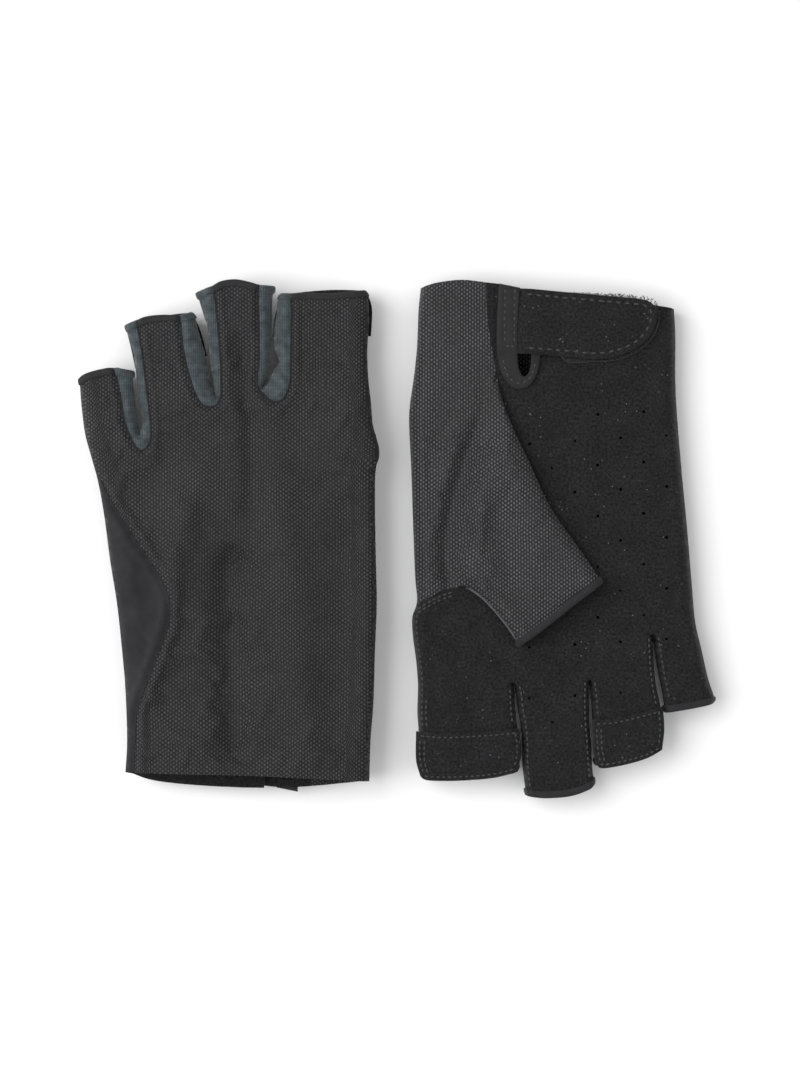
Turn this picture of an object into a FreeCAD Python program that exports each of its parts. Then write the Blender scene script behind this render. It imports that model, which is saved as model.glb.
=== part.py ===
import FreeCAD, Part
import math
import os

from FreeCAD import Vector

# A pair of short-finger sailing gloves laid flat side by side: the left glove palm down with its fingers
# towards +Y, the right glove palm up with its fingers towards -Y. Both are built from one template and
# the right glove is its mirror image. The row's origin is at the middle of the pair, on the surface.
#
# Template axes: u runs across the hand from the index side, v runs from the cuff to the fingertips, and
# w runs from the back of the hand to the palm. All lengths are in millimetres.

# Where each glove lies
GLOVE_APART = 7.0  # from the pair's middle to the index side of each glove
CUFF_OUT = 85.4  # from the pair's middle to each cuff

# Cloth and thickness
CLOTH = 1.2
HAND_TALL = 12.6
FINGER_LOW = 0.5
FINGER_TALL = 11.6
SHOULDER = 3.0  # bevel that rounds the laid-flat tube over at its sides
CLEAR = 0.4  # running room between cloth pieces on different bodies
OPEN_END = 14.0  # how far a tube runs on before its open ends are trimmed
WIDE = 120.0  # past the hand's little-finger side
BEYOND = 9.0  # past the cuff and past the index side

# Hand outline, from the cuff to the knuckles
INDEX_EDGE = [(0.4, 0.0), (-1.4, 30.0), (-1.5, 60.0), (-0.6, 108.0), (1.0, 136.0)]
LITTLE_EDGE = [(90.0, 0.0), (90.8, 25.0), (93.0, 52.0), (96.0, 85.0), (99.0, 108.0), (101.6, 120.0)]
CUFF_EDGE = [(0.4, -1.0), (35.0, -2.0), (90.0, 3.0)]

# Fingers: knuckle line, tip line, and the sides at each
FINGERS = {
    "index": dict(knuckle=135.5, tip=170.5, base=(1.2, 34.4), end=(2.2, 34.2)),
    "middle": dict(knuckle=135.5, tip=176.2, base=(35.2, 60.0), end=(36.4, 62.2)),
    "ring": dict(knuckle=134.0, tip=164.0, base=(60.9, 83.8), end=(63.2, 86.2)),
    "little": dict(knuckle=118.5, tip=144.5, base=(84.8, 101.4), end=(88.6, 105.0)),
}
HEM_WIDE = 2.6
PULLER_WIDE = 16.5
PULLER_THICK = 1.3
PULLER_BACK = 0.8  # from the finger's end to the puller's edge

# Seams on the hand
SIDE_SEAM = [(104.0, 116.0), (97.0, 104.0), (90.3, 92.0), (79.8, 76.3), (73.2, 65.0), (73.2, 52.5), (78.6, 38.5), (83.6, 24.5), (85.0, 2.0)]
THUMB_SEAM_ACROSS = 24.0  # the palm's suede starts here at the cuff
SUEDE_WRAP = 110.0  # beyond this the palm's suede wraps over the index edge

# Thumb, folded across the palm about the line where it joins the hand
THUMB_TALL = 7.0
FOLD_LOW = Vector(27.65, 17.5, 0)
FOLD_HIGH = Vector(15.75, 105.7, 0)
THUMB_OUTLINE = [(25.4, 36.5), (29.6, 43.0), (38.9, 60.0), (48.7, 79.6), (64.4, 102.5), (35.4, 125.0), (25.2, 111.0), (16.3, 104.8)]
THUMB_TIP = [(64.4, 102.5), (35.4, 125.0)]
THUMB_HOLE_ALONG = (30.0, 80.0)
THUMB_HOLE_WIDE = 14.0
FOLD_SLOPE_RUN = 7.0

# Wrist slit, its binding and the closing strap
SLIT_LEFT = 34.6
SLIT_RIGHT = 39.6
SLIT_END = 30.5
BINDING_WIDE = 5.6
BINDING_NARROW = 3.0
BINDING_THICK = 1.2
PAD_THICK = 0.9
STRAP_LOW = 1.9  # above the palm
STRAP_THICK = 1.4
STRAP_PIVOT = 35.2
STRAP_ROOT_END = 34.2
STRAP_FREE = 36.4


def outline(points):
    """A flat face inside a closed row of points."""
    corners = [Vector(u, v, 0) for u, v in points]
    return Part.Face(Part.makePolygon(corners + corners[:1]))


def slab(points, low, high):
    """An outline thickened from one height to another."""
    face = outline(points)
    face.translate(Vector(0, 0, low))
    return face.extrude(Vector(0, 0, high - low))


def pad(points, low, high, bevel):
    """A slab with both rims bevelled."""
    solid = slab(points, low, high)
    rims = [edge for edge in solid.Edges if abs(edge.Vertexes[0].Z - edge.Vertexes[1].Z) < 1e-6]
    return solid.makeChamfer(bevel, rims)


def shifted(points, across, along=0.0):
    """The same points moved across and along the hand."""
    return [(u + across, v + along) for u, v in points]


def tube(left, right, low, high, bevel):
    """A flattened cloth tube through the left and right points, longer than needed at both ends."""

    def ring(inset):
        near = shifted(left, inset)
        far = shifted(right, -inset)
        near = [(near[0][0], near[0][1] - OPEN_END)] + near + [(near[-1][0], near[-1][1] + OPEN_END)]
        far = [(far[0][0], far[0][1] - OPEN_END)] + far + [(far[-1][0], far[-1][1] + OPEN_END)]
        return near + far[::-1]

    outer = pad(ring(0.0), low, high, bevel)
    inner = pad(ring(CLOTH), low + CLOTH, high - CLOTH, bevel - 0.4 * CLOTH)
    return outer.cut(inner)


def band(low_v, high_v, low_w, high_w):
    """A box as wide as the whole hand, between two places along it and two heights."""
    return Part.makeBox(300, high_v - low_v, high_w - low_w, Vector(-100, low_v, low_w))


def joined(shapes):
    """One solid out of touching or overlapping ones."""
    whole = shapes[0]
    for shape in shapes[1:]:
        whole = whole.fuse(shape)
    return whole.removeSplitter()


def fold_frame():
    """The thumb's fold line: a point on it, its direction, and the direction towards the palm's middle."""
    along = (FOLD_HIGH - FOLD_LOW).normalize()
    across = Vector(along.y, -along.x, 0)
    return FOLD_LOW, along, across


def beside_fold(along_from, along_to, across_from, across_to):
    """Four corners of a rectangle laid out from the thumb's fold line."""
    start, along, across = fold_frame()
    corners = [
        start + along * along_from + across * across_from,
        start + along * along_from + across * across_to,
        start + along * along_to + across * across_to,
        start + along * along_to + across * across_from,
    ]
    return [(c.x, c.y) for c in corners]


def hand_panels():
    """The back panel, the palm panel and the side panel of the hand, which together make its tube."""
    shell = tube(INDEX_EDGE, LITTLE_EDGE, 0.0, HAND_TALL, SHOULDER)
    ring, little = FINGERS["ring"], FINGERS["little"]
    split = (ring["base"][1] + little["base"][0]) / 2
    footprint = [CUFF_EDGE[0], CUFF_EDGE[1], CUFF_EDGE[2], (110.0, 3.0), (110.0, little["knuckle"])]
    footprint += [(split, little["knuckle"]), (split, ring["knuckle"])]
    footprint += [(ring["base"][0] - 0.4, ring["knuckle"]), (ring["base"][0] - 0.4, FINGERS["index"]["knuckle"])]
    footprint += [(-10.0, FINGERS["index"]["knuckle"]), (-10.0, CUFF_EDGE[0][1])]
    shell = shell.common(slab(footprint, 0.0, HAND_TALL))

    top = HAND_TALL - SHOULDER
    side_zone = slab(SIDE_SEAM + [(SIDE_SEAM[-1][0], -BEYOND), (WIDE, -BEYOND), (WIDE, SIDE_SEAM[0][1])], 0.0, top)
    side = shell.common(side_zone)
    rest = shell.cut(side_zone)

    start, along, across = fold_frame()
    hole = beside_fold(*THUMB_HOLE_ALONG, CLEAR, THUMB_HOLE_WIDE)
    strip_end = start + along * THUMB_HOLE_ALONG[0]
    palm_edge = [(THUMB_SEAM_ACROSS, -9.0), (THUMB_SEAM_ACROSS, strip_end.y), (strip_end.x + 6.0, strip_end.y)]
    palm_edge += [(hole[3][0] + 4.0, hole[3][1]), (14.7, 106.7), (-9.0, SUEDE_WRAP)]
    palm_zone = slab(palm_edge + [(-9.0, 150.0), (120.0, 150.0), (120.0, -9.0)], top, HAND_TALL)
    wrap_zone = slab([(-9.0, SUEDE_WRAP), (SHOULDER, SUEDE_WRAP), (SHOULDER, 150.0), (-9.0, 150.0)], SHOULDER, top)
    suede_zone = joined([palm_zone, wrap_zone])
    opening = slab(hole, top, HAND_TALL)
    slit = slab([(SLIT_LEFT, -9.0), (SLIT_RIGHT, -9.0), (SLIT_RIGHT, SLIT_END), (SLIT_LEFT, SLIT_END)], top, HAND_TALL)
    palm = rest.common(suede_zone).cut(opening).cut(slit)
    back = rest.cut(suede_zone).cut(opening)
    return dict(back_panel=back, palm_panel=palm, side_panel=side)


def crotch_gussets():
    """The pieces of side cloth that close the hand between one finger and the next."""
    low, high = CLOTH, HAND_TALL - CLOTH
    end = FINGERS["index"]["knuckle"]
    gussets = []
    for one, other, finish in (("index", "middle", end), ("middle", "ring", FINGERS["ring"]["knuckle"])):
        middle = (FINGERS[one]["base"][1] + FINGERS[other]["base"][0]) / 2
        gussets.append(slab([(middle, finish - 9.0), (middle + 1.6, finish), (middle - 1.6, finish)], low, high))
    ring, little = FINGERS["ring"], FINGERS["little"]
    wall = (ring["base"][1] + little["base"][0]) / 2
    corner = little["knuckle"]
    wedge = [(wall, corner - 9.0), (wall + 1.2, corner), (wall, corner), (wall, ring["knuckle"])]
    wedge += [(wall - CLOTH, ring["knuckle"]), (wall - CLOTH, corner)]
    gussets.append(slab(wedge, low, high))
    return Part.makeCompound(gussets)


def finger(name):
    """One finger's tube, cut into its back, its palm side, its gussets and its hem."""
    size = FINGERS[name]
    start, tip = size["knuckle"] + CLEAR, size["tip"]
    left = [(size["base"][0], start), (size["end"][0], tip)]
    right = [(size["base"][1], start), (size["end"][1], tip)]
    low, high = FINGER_LOW, FINGER_LOW + FINGER_TALL
    whole = tube(left, right, low, high, SHOULDER - 0.6)
    body = whole.common(band(start, tip - HEM_WIDE, low, high))
    lower, upper = low + SHOULDER, high - SHOULDER
    back = body.common(band(start, tip, low, lower))
    palm = body.common(band(start, tip, upper, high))
    walls = body.common(band(start, tip, lower, upper))
    middle = (size["base"][0] + size["base"][1]) / 2
    near = [wall for wall in walls.Solids if wall.CenterOfMass.x < middle]
    far = [wall for wall in walls.Solids if wall.CenterOfMass.x > middle]
    if name == "index":
        palm, near = joined([palm] + near), []
    if name == "little":
        palm, far = joined([palm] + far), []
    hem = whole.common(band(tip - HEM_WIDE, tip, low, high))
    pieces = {
        name + "_back": back,
        name + "_palm": palm,
        name + "_gusset": Part.makeCompound(near + far),
        name + "_hem": hem,
    }
    if name in ("index", "ring"):
        pieces[name + "_puller"] = puller(left, right, tip, high)
    return pieces


def puller(left, right, tip, top):
    """The suede strip across the end of a finger that it is pulled off by."""
    end = tip - PULLER_BACK
    start = end - PULLER_WIDE
    inset = 0.6
    strip = [(left[0][0] + inset, start), (right[0][0] - inset, start - 0.8)]
    strip += [(right[1][0] - inset, end - 1.2), (left[1][0] + inset, end)]
    return slab(strip, top, top + PULLER_THICK)


def thumb():
    """The thumb's tube, folded flat on the palm, cut into its back, its palm side and its hem."""
    low = HAND_TALL + CLEAR
    high = low + THUMB_TALL
    start, along, across = fold_frame()
    outer = pad_open(THUMB_OUTLINE, 0.0, low, high)
    inner = pad_open(THUMB_OUTLINE, CLOTH, low + CLOTH, high - CLOTH)
    slope_cut = fold_wedge(0.0, low)
    slope_core = fold_wedge(CLOTH * 1.4, low)
    shell = outer.cut(slope_cut).cut(inner.cut(slope_core))
    floor_zone = slab(beside_fold(-40.0, 140.0, THUMB_HOLE_WIDE + 1.0, 120.0), low, low + CLOTH)
    roof_zone = Part.makeBox(300, 300, THUMB_TALL - CLOTH, Vector(-100, -50, low + CLOTH))
    root_zone = slab(beside_fold(-40.0, 140.0, -20.0, 4.0), low, low + CLOTH)
    tip_low, tip_high = Vector(*THUMB_TIP[0], 0), Vector(*THUMB_TIP[1], 0)
    edge = (tip_high - tip_low).normalize()
    outward = Vector(-edge.y, edge.x, 0) * -1
    corners = [tip_low - edge * 30, tip_high + edge * 30]
    hem_line = [c - outward * HEM_WIDE for c in corners] + [c + outward * 20 for c in corners[::-1]]
    hem_zone = slab([(c.x, c.y) for c in hem_line], low, high)
    palm = shell.common(floor_zone).cut(hem_zone)
    back = shell.common(joined([roof_zone, root_zone])).cut(hem_zone)
    hem = shell.common(hem_zone).cut(root_zone)
    return dict(thumb_back=back, thumb_palm=palm, thumb_hem=hem)


def pad_open(points, inset, low, high):
    """The thumb's outline thickened and bevelled, inset by the cloth and open at the tip when inset."""
    face = outline(points)
    if inset:
        face = face.makeOffset2D(-inset)
        tip_low, tip_high = Vector(*THUMB_TIP[0], 0), Vector(*THUMB_TIP[1], 0)
        edge = (tip_high - tip_low).normalize()
        outward = Vector(edge.y, -edge.x, 0)
        near = tip_low + edge * inset * 1.3
        far = tip_high - edge * inset * 1.3
        mouth = [near - outward * 3, near + outward * 8, far + outward * 8, far - outward * 3]
        face = face.fuse(outline([(c.x, c.y) for c in mouth])).removeSplitter().Faces[0]
    face.translate(Vector(0, 0, low))
    return face.extrude(Vector(0, 0, high - low))


def fold_wedge(inset, low):
    """The space above the slope by which the thumb's back comes down to the fold line."""
    start, along, across = fold_frame()
    rise = THUMB_TALL
    profile = [(0.6 + inset, 0.0), (0.6 + inset + FOLD_SLOPE_RUN, rise), (-30.0, rise), (-30.0, 0.0)]
    corners = [start + along * -40.0 + across * t + Vector(0, 0, low + h) for t, h in profile]
    face = Part.Face(Part.makePolygon(corners + corners[:1]))
    return face.extrude(along * 200.0)


def slit_binding():
    """The tape round the wrist slit, and the strap's sewn root on its wide leg."""
    low = HAND_TALL
    left, right = SLIT_LEFT, SLIT_RIGHT
    cuff = 0.0
    end = SLIT_END
    tape = [(left - BINDING_WIDE, cuff), (left, cuff), (left, end), (right, end), (right, cuff)]
    tape += [(right + BINDING_NARROW, cuff), (right + BINDING_NARROW, end - 4.0), (right - 1.0, end + 4.0)]
    tape += [(left - 1.0, end + 4.0), (left - BINDING_WIDE, end - 1.0)]
    root = [(left - BINDING_WIDE + 0.4, 1.0), (STRAP_ROOT_END, 1.0), (STRAP_ROOT_END, 21.5)]
    root += [(left - BINDING_WIDE + 0.4, 21.5)]
    return Part.makeCompound([
        slab(tape, low, low + BINDING_THICK),
        slab(root, low + BINDING_THICK, low + BINDING_THICK + STRAP_THICK),
    ])


def strap_outline():
    """The strap's edge: straight along the cuff, rounded at its free end."""
    top_start = Vector(STRAP_FREE, 0.6, 0)
    top_end = Vector(79.0, 4.2, 0)
    corner = Vector(83.2, 9.6, 0)
    bottom_end = Vector(64.0, 24.0, 0)
    bottom_start = Vector(STRAP_FREE, 22.6, 0)
    edges = [
        Part.LineSegment(top_start, top_end).toShape(),
        Part.Arc(top_end, Vector(82.3, 5.9, 0), corner).toShape(),
        Part.Arc(corner, Vector(77.6, 19.2, 0), bottom_end).toShape(),
        Part.LineSegment(bottom_end, bottom_start).toShape(),
        Part.LineSegment(bottom_start, top_start).toShape(),
    ]
    return Part.Wire(edges)


def strap():
    """The closing strap and the hook pad on its underside."""
    low = HAND_TALL + STRAP_LOW
    face = Part.Face(strap_outline())
    face.translate(Vector(0, 0, low))
    tab = face.extrude(Vector(0, 0, STRAP_THICK))
    hooks = slab([(52.0, 4.5), (78.0, 6.5), (78.0, 15.0), (66.0, 21.0), (52.0, 20.5)], low - PAD_THICK + 0.1, low)
    return dict(strap_tab=tab, hook_pad=hooks)


def loop_pad():
    """The soft pad on the wrist that the strap's hooks grip."""
    edge = [(46.0, 1.6), (85.0, 5.2), (84.4, 16.0), (75.0, 24.6), (62.0, 26.0), (46.0, 24.6)]
    return slab(edge, HAND_TALL, HAND_TALL + PAD_THICK)


def glove():
    """Every piece of one glove, in the template's axes."""
    pieces = hand_panels()
    pieces["crotch_gussets"] = crotch_gussets()
    pieces["slit_binding"] = slit_binding()
    pieces["loop_pad"] = loop_pad()
    for name in FINGERS:
        pieces.update(finger(name))
    pieces.update(thumb())
    pieces.update(strap())
    return pieces


def place(shape, side):
    """A template piece moved to where its glove lies in the pair."""
    if side == "right":
        laid = shape.mirror(Vector(0, 0, 0), Vector(0, 1, 0))
        laid.translate(Vector(GLOVE_APART, CUFF_OUT, 0))
        return laid
    laid = shape.copy()
    laid.rotate(Vector(0, 0, 0), Vector(0, 1, 0), 180)
    laid.translate(Vector(-GLOVE_APART, -CUFF_OUT, HAND_TALL + CLEAR + THUMB_TALL))
    return laid


def main():
    os.makedirs("parts", exist_ok=True)
    pieces = glove()
    for side in ("left", "right"):
        for name, shape in pieces.items():
            place(shape, side).exportStep("parts/" + side + "_" + name + ".step")
    for name, shape in pieces.items():
        box = shape.BoundBox
        print(name, len(shape.Solids), "solids", round(shape.Volume), "mm3", shape.isValid(), end=" ")
        print([round(x, 1) for x in (box.XMin, box.XMax, box.YMin, box.YMax, box.ZMin, box.ZMax)])


main()
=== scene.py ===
import bmesh
import bpy
import math
import numpy as np
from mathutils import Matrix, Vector
from mathutils.geometry import delaunay_2d_cdt


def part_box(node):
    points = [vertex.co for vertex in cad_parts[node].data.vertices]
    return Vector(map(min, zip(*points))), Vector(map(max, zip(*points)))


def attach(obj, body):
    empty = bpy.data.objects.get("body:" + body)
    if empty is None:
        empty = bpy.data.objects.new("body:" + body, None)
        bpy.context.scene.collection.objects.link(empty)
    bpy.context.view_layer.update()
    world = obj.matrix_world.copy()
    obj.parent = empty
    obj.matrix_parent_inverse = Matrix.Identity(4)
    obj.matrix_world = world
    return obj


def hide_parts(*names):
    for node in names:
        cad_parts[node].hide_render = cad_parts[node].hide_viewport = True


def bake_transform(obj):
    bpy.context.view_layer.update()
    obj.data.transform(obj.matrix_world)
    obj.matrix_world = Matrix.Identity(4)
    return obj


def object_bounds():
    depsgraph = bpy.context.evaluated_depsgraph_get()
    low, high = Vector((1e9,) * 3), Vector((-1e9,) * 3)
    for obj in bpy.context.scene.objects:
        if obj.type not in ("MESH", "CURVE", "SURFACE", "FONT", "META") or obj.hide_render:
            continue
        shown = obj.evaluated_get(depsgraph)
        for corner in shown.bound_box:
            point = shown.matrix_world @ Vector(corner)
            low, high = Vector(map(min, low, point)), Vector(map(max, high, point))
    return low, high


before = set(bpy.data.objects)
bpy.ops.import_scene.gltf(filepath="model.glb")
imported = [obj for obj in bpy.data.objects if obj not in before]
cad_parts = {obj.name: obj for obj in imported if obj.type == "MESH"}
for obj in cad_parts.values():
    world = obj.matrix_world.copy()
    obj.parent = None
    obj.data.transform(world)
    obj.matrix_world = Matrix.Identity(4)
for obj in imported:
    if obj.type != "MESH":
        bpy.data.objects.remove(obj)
cad_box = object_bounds()

# A pair of short-finger sailing gloves: the left one palm down, the right one palm up. Every glove is
# made in its own axes, in millimetres: u across the hand from the index side, v from the cuff to the
# fingertips, w from the back of the hand to the palm. place() moves a point to where its glove lies.

MM = 0.001
STRAP_FREE = 36.4  # u of the strap's hinged end on the CAD model
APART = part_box("right_strap_tab")[0][0] / MM - STRAP_FREE
CUFF_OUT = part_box("right_slit_binding")[1][1] / MM
TALL = cad_box[1][2] / MM

STEP = 1.25  # spacing of the cloth's mesh
CLOTH = 0.7  # the cloth's thickness
FAR = 200.0  # v beyond every fingertip
OFF_FLOOR = 0.05  # the least gap between the cloth and the floor
BACK_LEVEL, EDGE_LEVEL, PALM_LEVEL = 0.5, 5.4, 12.1
HAND_ROUND, FINGER_ROUND = 8.0, 6.0
THUMB_RISE, THUMB_EDGE = 6.2, 2.9

KNUCKLE = {"index": 135.5, "middle": 135.5, "ring": 134.0, "little": 118.5}
BEND_RUN = 16.0
FINGERS = list(KNUCKLE)
SIDES = ("left", "right")

# The thumb's fold: its line, and how far from it the cloth starts and ends to turn
FOLD_LOW = np.array((27.65, 17.5))
FOLD_HIGH = np.array((15.75, 105.7))
FOLD_ALONG = (FOLD_HIGH - FOLD_LOW) / np.linalg.norm(FOLD_HIGH - FOLD_LOW)
FOLD_ACROSS = np.array((FOLD_ALONG[1], -FOLD_ALONG[0]))
FOLD_START, FOLD_END, CREASE = -4.0, 6.0, 1.0

# Outlines of each glove as it lies, from the cuff's index side round the fingers and back
OUTLINE = {
    "left": dict(
        radial=[(3.0, -0.9), (2.6, 13), (1.6, 26), (1, 45), (0.4, 61), (0.7, 76), (1, 92), (1, 104),
            (0.6, 109), (-0.4, 112), (-0.4, 115.5), (0.7, 119.7), (1.8, 124), (2.5, 132), (3.4, 140),
            (3.7, 150), (3.1, 159.6), (3.5, 168), (4.6, 170.6)],
        index_tip=[(4.6, 170.6), (10.5, 169.8), (16.8, 169.3), (23.8, 169.4), (30.6, 169.4), (33.6, 169.6)],
        index_far=[(33.6, 169.6), (35, 167.5), (35.5, 162.4), (36.2, 157.9), (36.4, 152.3), (35.7, 148.8),
            (34.4, 146.1), (35, 144.4), (36.4, 143), (37.2, 140.7), (38.5, 138.2), (40.6, 136.2)],
        middle_near=[(40.6, 136.2), (39.8, 138.8), (38.6, 141.4), (37.8, 144.8), (37.4, 151), (37.1, 159.1),
            (37, 166.3), (36.3, 172)],
        middle_tip=[(36.3, 172), (41.5, 172.3), (44.8, 173.3), (49.7, 174.2), (54.6, 173.6), (57.6, 172),
            (63.4, 169.8)],
        middle_far=[(63.4, 169.8), (62.4, 166.6), (60.8, 161.4), (59.6, 157.7), (59, 151.2), (58.5, 144.6),
            (57.5, 138.6), (56.6, 133)],
        ring_near=[(56.6, 133), (58.1, 136), (59, 139), (59.8, 144), (60.5, 149), (61.6, 152.4),
            (62.8, 156.8), (63.8, 160.8), (65.2, 163)],
        ring_tip=[(65.2, 163), (69.1, 161.7), (74.5, 161.9), (80.5, 161.4), (84.3, 160), (88.4, 158.6)],
        ring_far=[(88.4, 158.6), (86.8, 152.4), (85.4, 147.5), (84.7, 142.1), (83.9, 135), (82.7, 128.3),
            (82.5, 123.6), (83.5, 120.4)],
        little_near=[(83.5, 120.4), (84.2, 126), (84.9, 132.3), (85.6, 137.6), (85.8, 142.5)],
        little_tip=[(85.8, 142.5), (92.4, 143.4), (97.3, 142.8), (102.2, 141.4), (104.5, 140)],
        ulnar=[(104.5, 140), (104.3, 136), (103.6, 128.1), (102.5, 120.1), (100.4, 112.4), (98, 103.6),
            (95.9, 92.1), (93.8, 76.3), (91.3, 60.6), (89.6, 44.8), (88.4, 30.8), (87.8, 13.3),
            (88.4, 2.1)],
        cuff_back=[(88.4, 2.1), (80, 1.9), (65.8, 1.6), (44.8, 1.2), (23.8, 0.2), (3.0, -0.9)],
        cuff_palm=[(88.4, 2.1), (79.8, -0.9), (65.8, -2.6), (44.8, -3.6), (27.3, -3.3), (11.5, -1.9),
            (3.0, -0.9)],
    ),
    "right": dict(
        radial=[(1, -1.1), (0.2, 7), (-0.3, 19.2), (-1.4, 30.1), (-2.8, 39.9), (-3.1, 47.2), (-2.4, 61.6),
            (-1.8, 78.7), (-1, 99.7), (-0.3, 107.4), (-0.6, 110.6), (-2, 114.8), (-1.8, 121.1),
            (-0.7, 129.5), (0, 138.2), (-0.2, 147.7), (0.2, 154.3), (0.2, 161), (0.6, 167.3),
            (1.4, 170.3)],
        index_tip=[(1.4, 170.3), (9.4, 171), (21.7, 171), (28.7, 170), (34.4, 168.8)],
        index_far=[(34.7, 168.8), (35.5, 165.5), (35.6, 158.9), (34.9, 152.9), (34.1, 145.2),
            (33.9, 138.6)],
        middle_near=[(33.9, 138.6), (34.6, 142.5), (35.1, 147), (35.9, 151.2), (36.6, 157.8), (36.8, 166.9),
            (38.1, 177.1)],
        middle_tip=[(38.1, 177.1), (44.4, 177.8), (53.2, 177.1), (59.5, 175), (61.9, 173.2)],
        middle_far=[(61.9, 173.2), (61.3, 166.2), (60.9, 158.9), (60.4, 153.3), (60.1, 145.2),
            (60.2, 137.2)],
        ring_near=[(60.2, 137.2), (60.9, 142.8), (61.2, 148), (61.4, 154), (61.8, 161.3), (62.3, 166.4)],
        ring_tip=[(62.6, 166.4), (67.2, 166.6), (74.2, 165.5), (80.5, 163.2), (85, 161.1)],
        ring_far=[(85, 161.1), (85.6, 156.1), (85.6, 148), (84.8, 143.6), (83.7, 138), (82.9, 130),
            (82.5, 121.4)],
        little_near=[(82.5, 121.4), (83.5, 128), (84.6, 134.7), (86, 141.7), (86.8, 148)],
        little_tip=[(86.8, 148), (95.2, 146.6), (103.6, 144.9)],
        ulnar=[(103.6, 144.9), (104.2, 142.6), (102.2, 136.5), (99.8, 126), (97.6, 116.2), (96.4, 103.2),
            (94.8, 84), (92.8, 63), (91.3, 44.8), (90.6, 31.5), (90.6, 15.7), (90.1, 6.3)],
        cuff_back=[(90.1, 6.3), (80, 4), (60, 2), (40, 0.8), (20, -0.4), (1, -1.1)],
        cuff_palm=[(90.1, 6.3), (80.5, 4.9), (68.2, 2.4), (51.4, 0.7), (36, -0.7), (28.7, -2.1),
            (23.8, -2.7), (15.7, -3.6), (7.7, -2.8), (1, -1.1)],
    ),
}

# Seams on the back between the knit and the side cloth of each gap between fingers
GAP_SEAMS = {
    "index": [(30.6, 169.4), (30.1, 163.8), (30.2, 156.8), (30.3, 146.3), (30.5, 139.3), (31.5, 134.9),
        (33.2, 132.3), (35.5, 131.4), (37.7, 132.1), (39.5, 133.8), (41.7, 135.6), (42.2, 138.6),
        (41.6, 146.7), (41.7, 157.9), (41.9, 166.6), (41.5, 172.3)],
    "middle": [(57.6, 172), (56.7, 166.6), (55.8, 157.9), (54.9, 146.7), (54.6, 137.6), (54.6, 134.1),
        (56, 130.6), (58.7, 129.6), (61.4, 130.6), (63.6, 134.1), (65.6, 140), (67.4, 147), (68.5, 154.2),
        (69.1, 161.7)],
    "ring": [(84.3, 160), (82.4, 148.8), (80.6, 135.5), (79.2, 122.2), (79.4, 118.3), (80.8, 115.5),
        (82.4, 114.5), (84.1, 115.3), (86.4, 118.9), (88.6, 125.1), (89.5, 130.9), (91.1, 139),
        (92.4, 143.4)],
}
SIDE_SEAM = [(100.4, 112.4), (95.5, 101.2), (90.3, 92.1), (79.8, 76.3), (73.9, 66.5), (72.4, 58.8),
    (73.5, 51.8), (78, 39.6), (80.8, 32.6), (84, 23.8), (84.8, 13.3), (85.1, 0.8)]

# The thumb folded across the palm, and the seams round it
FLAP_EDGE = [(23.8, -2.7), (24.1, 7), (25, 15), (27.1, 27.6), (29.7, 39.2), (33.9, 50), (38.8, 60.2),
    (43.8, 71.4), (48.6, 79.8), (56.7, 91), (64.4, 102.5)]
THUMB_TIP = [(64.4, 102.5), (54.9, 109.7), (44.4, 118.1), (35.3, 124.6)]
THUMB_LOW = [(35.3, 124.6), (32.9, 120), (28.7, 114.4), (23.4, 108.5), (18.2, 104.6), (14.9, 103.8),
    (11.9, 104.3)]
VALLEY = [(26.6, 30), (25.9, 36.7), (24.8, 42), (19.6, 52.1), (16.8, 59.1), (14.7, 66.1), (12.6, 73.1),
    (10.5, 84.3), (9.8, 91.3), (10.5, 98.3), (11.9, 104.3)]
SUEDE_SEAM = [(11.9, 104.3), (7.7, 105.7), (2.4, 108.5), (-0.5, 110.6)]


# ---------------------------------------------------------------- lines and fields

def arc_length(line):
    """The distance along a line at each of its points."""
    return np.concatenate([[0], np.cumsum(np.linalg.norm(np.diff(line, axis=0), axis=1))])


def sample(line, at, run):
    """The places on a line where run, which grows along it, has the given values."""
    return np.column_stack([np.interp(at, run, column) for column in line.T])


def unit(vectors):
    return vectors / (np.linalg.norm(vectors, axis=-1, keepdims=True) + 1e-12)


def curve(points, step=STEP):
    """A smooth line through the points, in even steps."""
    line = np.array(points, float)
    if len(line) > 2:
        ends = np.vstack([2 * line[0] - line[1], line, 2 * line[-1] - line[-2]])
        fine = [line[0]]
        for a, b, c, d in zip(ends, ends[1:], ends[2:], ends[3:]):
            for t in np.linspace(0, 1, 13)[1:]:
                fine.append(b + 0.5 * t * (c - a + t * (2 * a - 5 * b + 4 * c - d + t * (3 * (b - c) + d - a))))
        line = np.array(fine)
    run = arc_length(line)
    return sample(line, np.linspace(0, run[-1], max(1, round(run[-1] / step)) + 1), run)


def nearest(points, lines):
    """Distance from each point to the lines, and the nearest place on them."""
    a = np.vstack([line[:-1] for line in lines])
    ab = np.vstack([line[1:] for line in lines]) - a
    length2 = (ab ** 2).sum(1) + 1e-12
    distance = np.zeros(len(points))
    foot = np.zeros((len(points), 2))
    for i in range(0, len(points), 2000):
        q = points[i:i + 2000, None, :]
        t = np.clip(((q - a) * ab).sum(2) / length2, 0, 1)
        feet = a + t[..., None] * ab
        gap = ((q - feet) ** 2).sum(2)
        k = gap.argmin(1)
        rows = np.arange(len(k))
        distance[i:i + 2000] = np.sqrt(gap[rows, k])
        foot[i:i + 2000] = feet[rows, k]
    return distance, foot


def inside(points, polygon):
    """Which points lie inside the closed polygon."""
    x, y = points[:, :1], points[:, 1:2]
    px, py = polygon.T
    qx, qy = np.roll(polygon, -1, axis=0).T
    crosses = ((py > y) != (qy > y)) & (x < (qx - px) * (y - py) / (qy - py + 1e-12) + px)
    return crosses.sum(1) % 2 == 1


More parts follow.
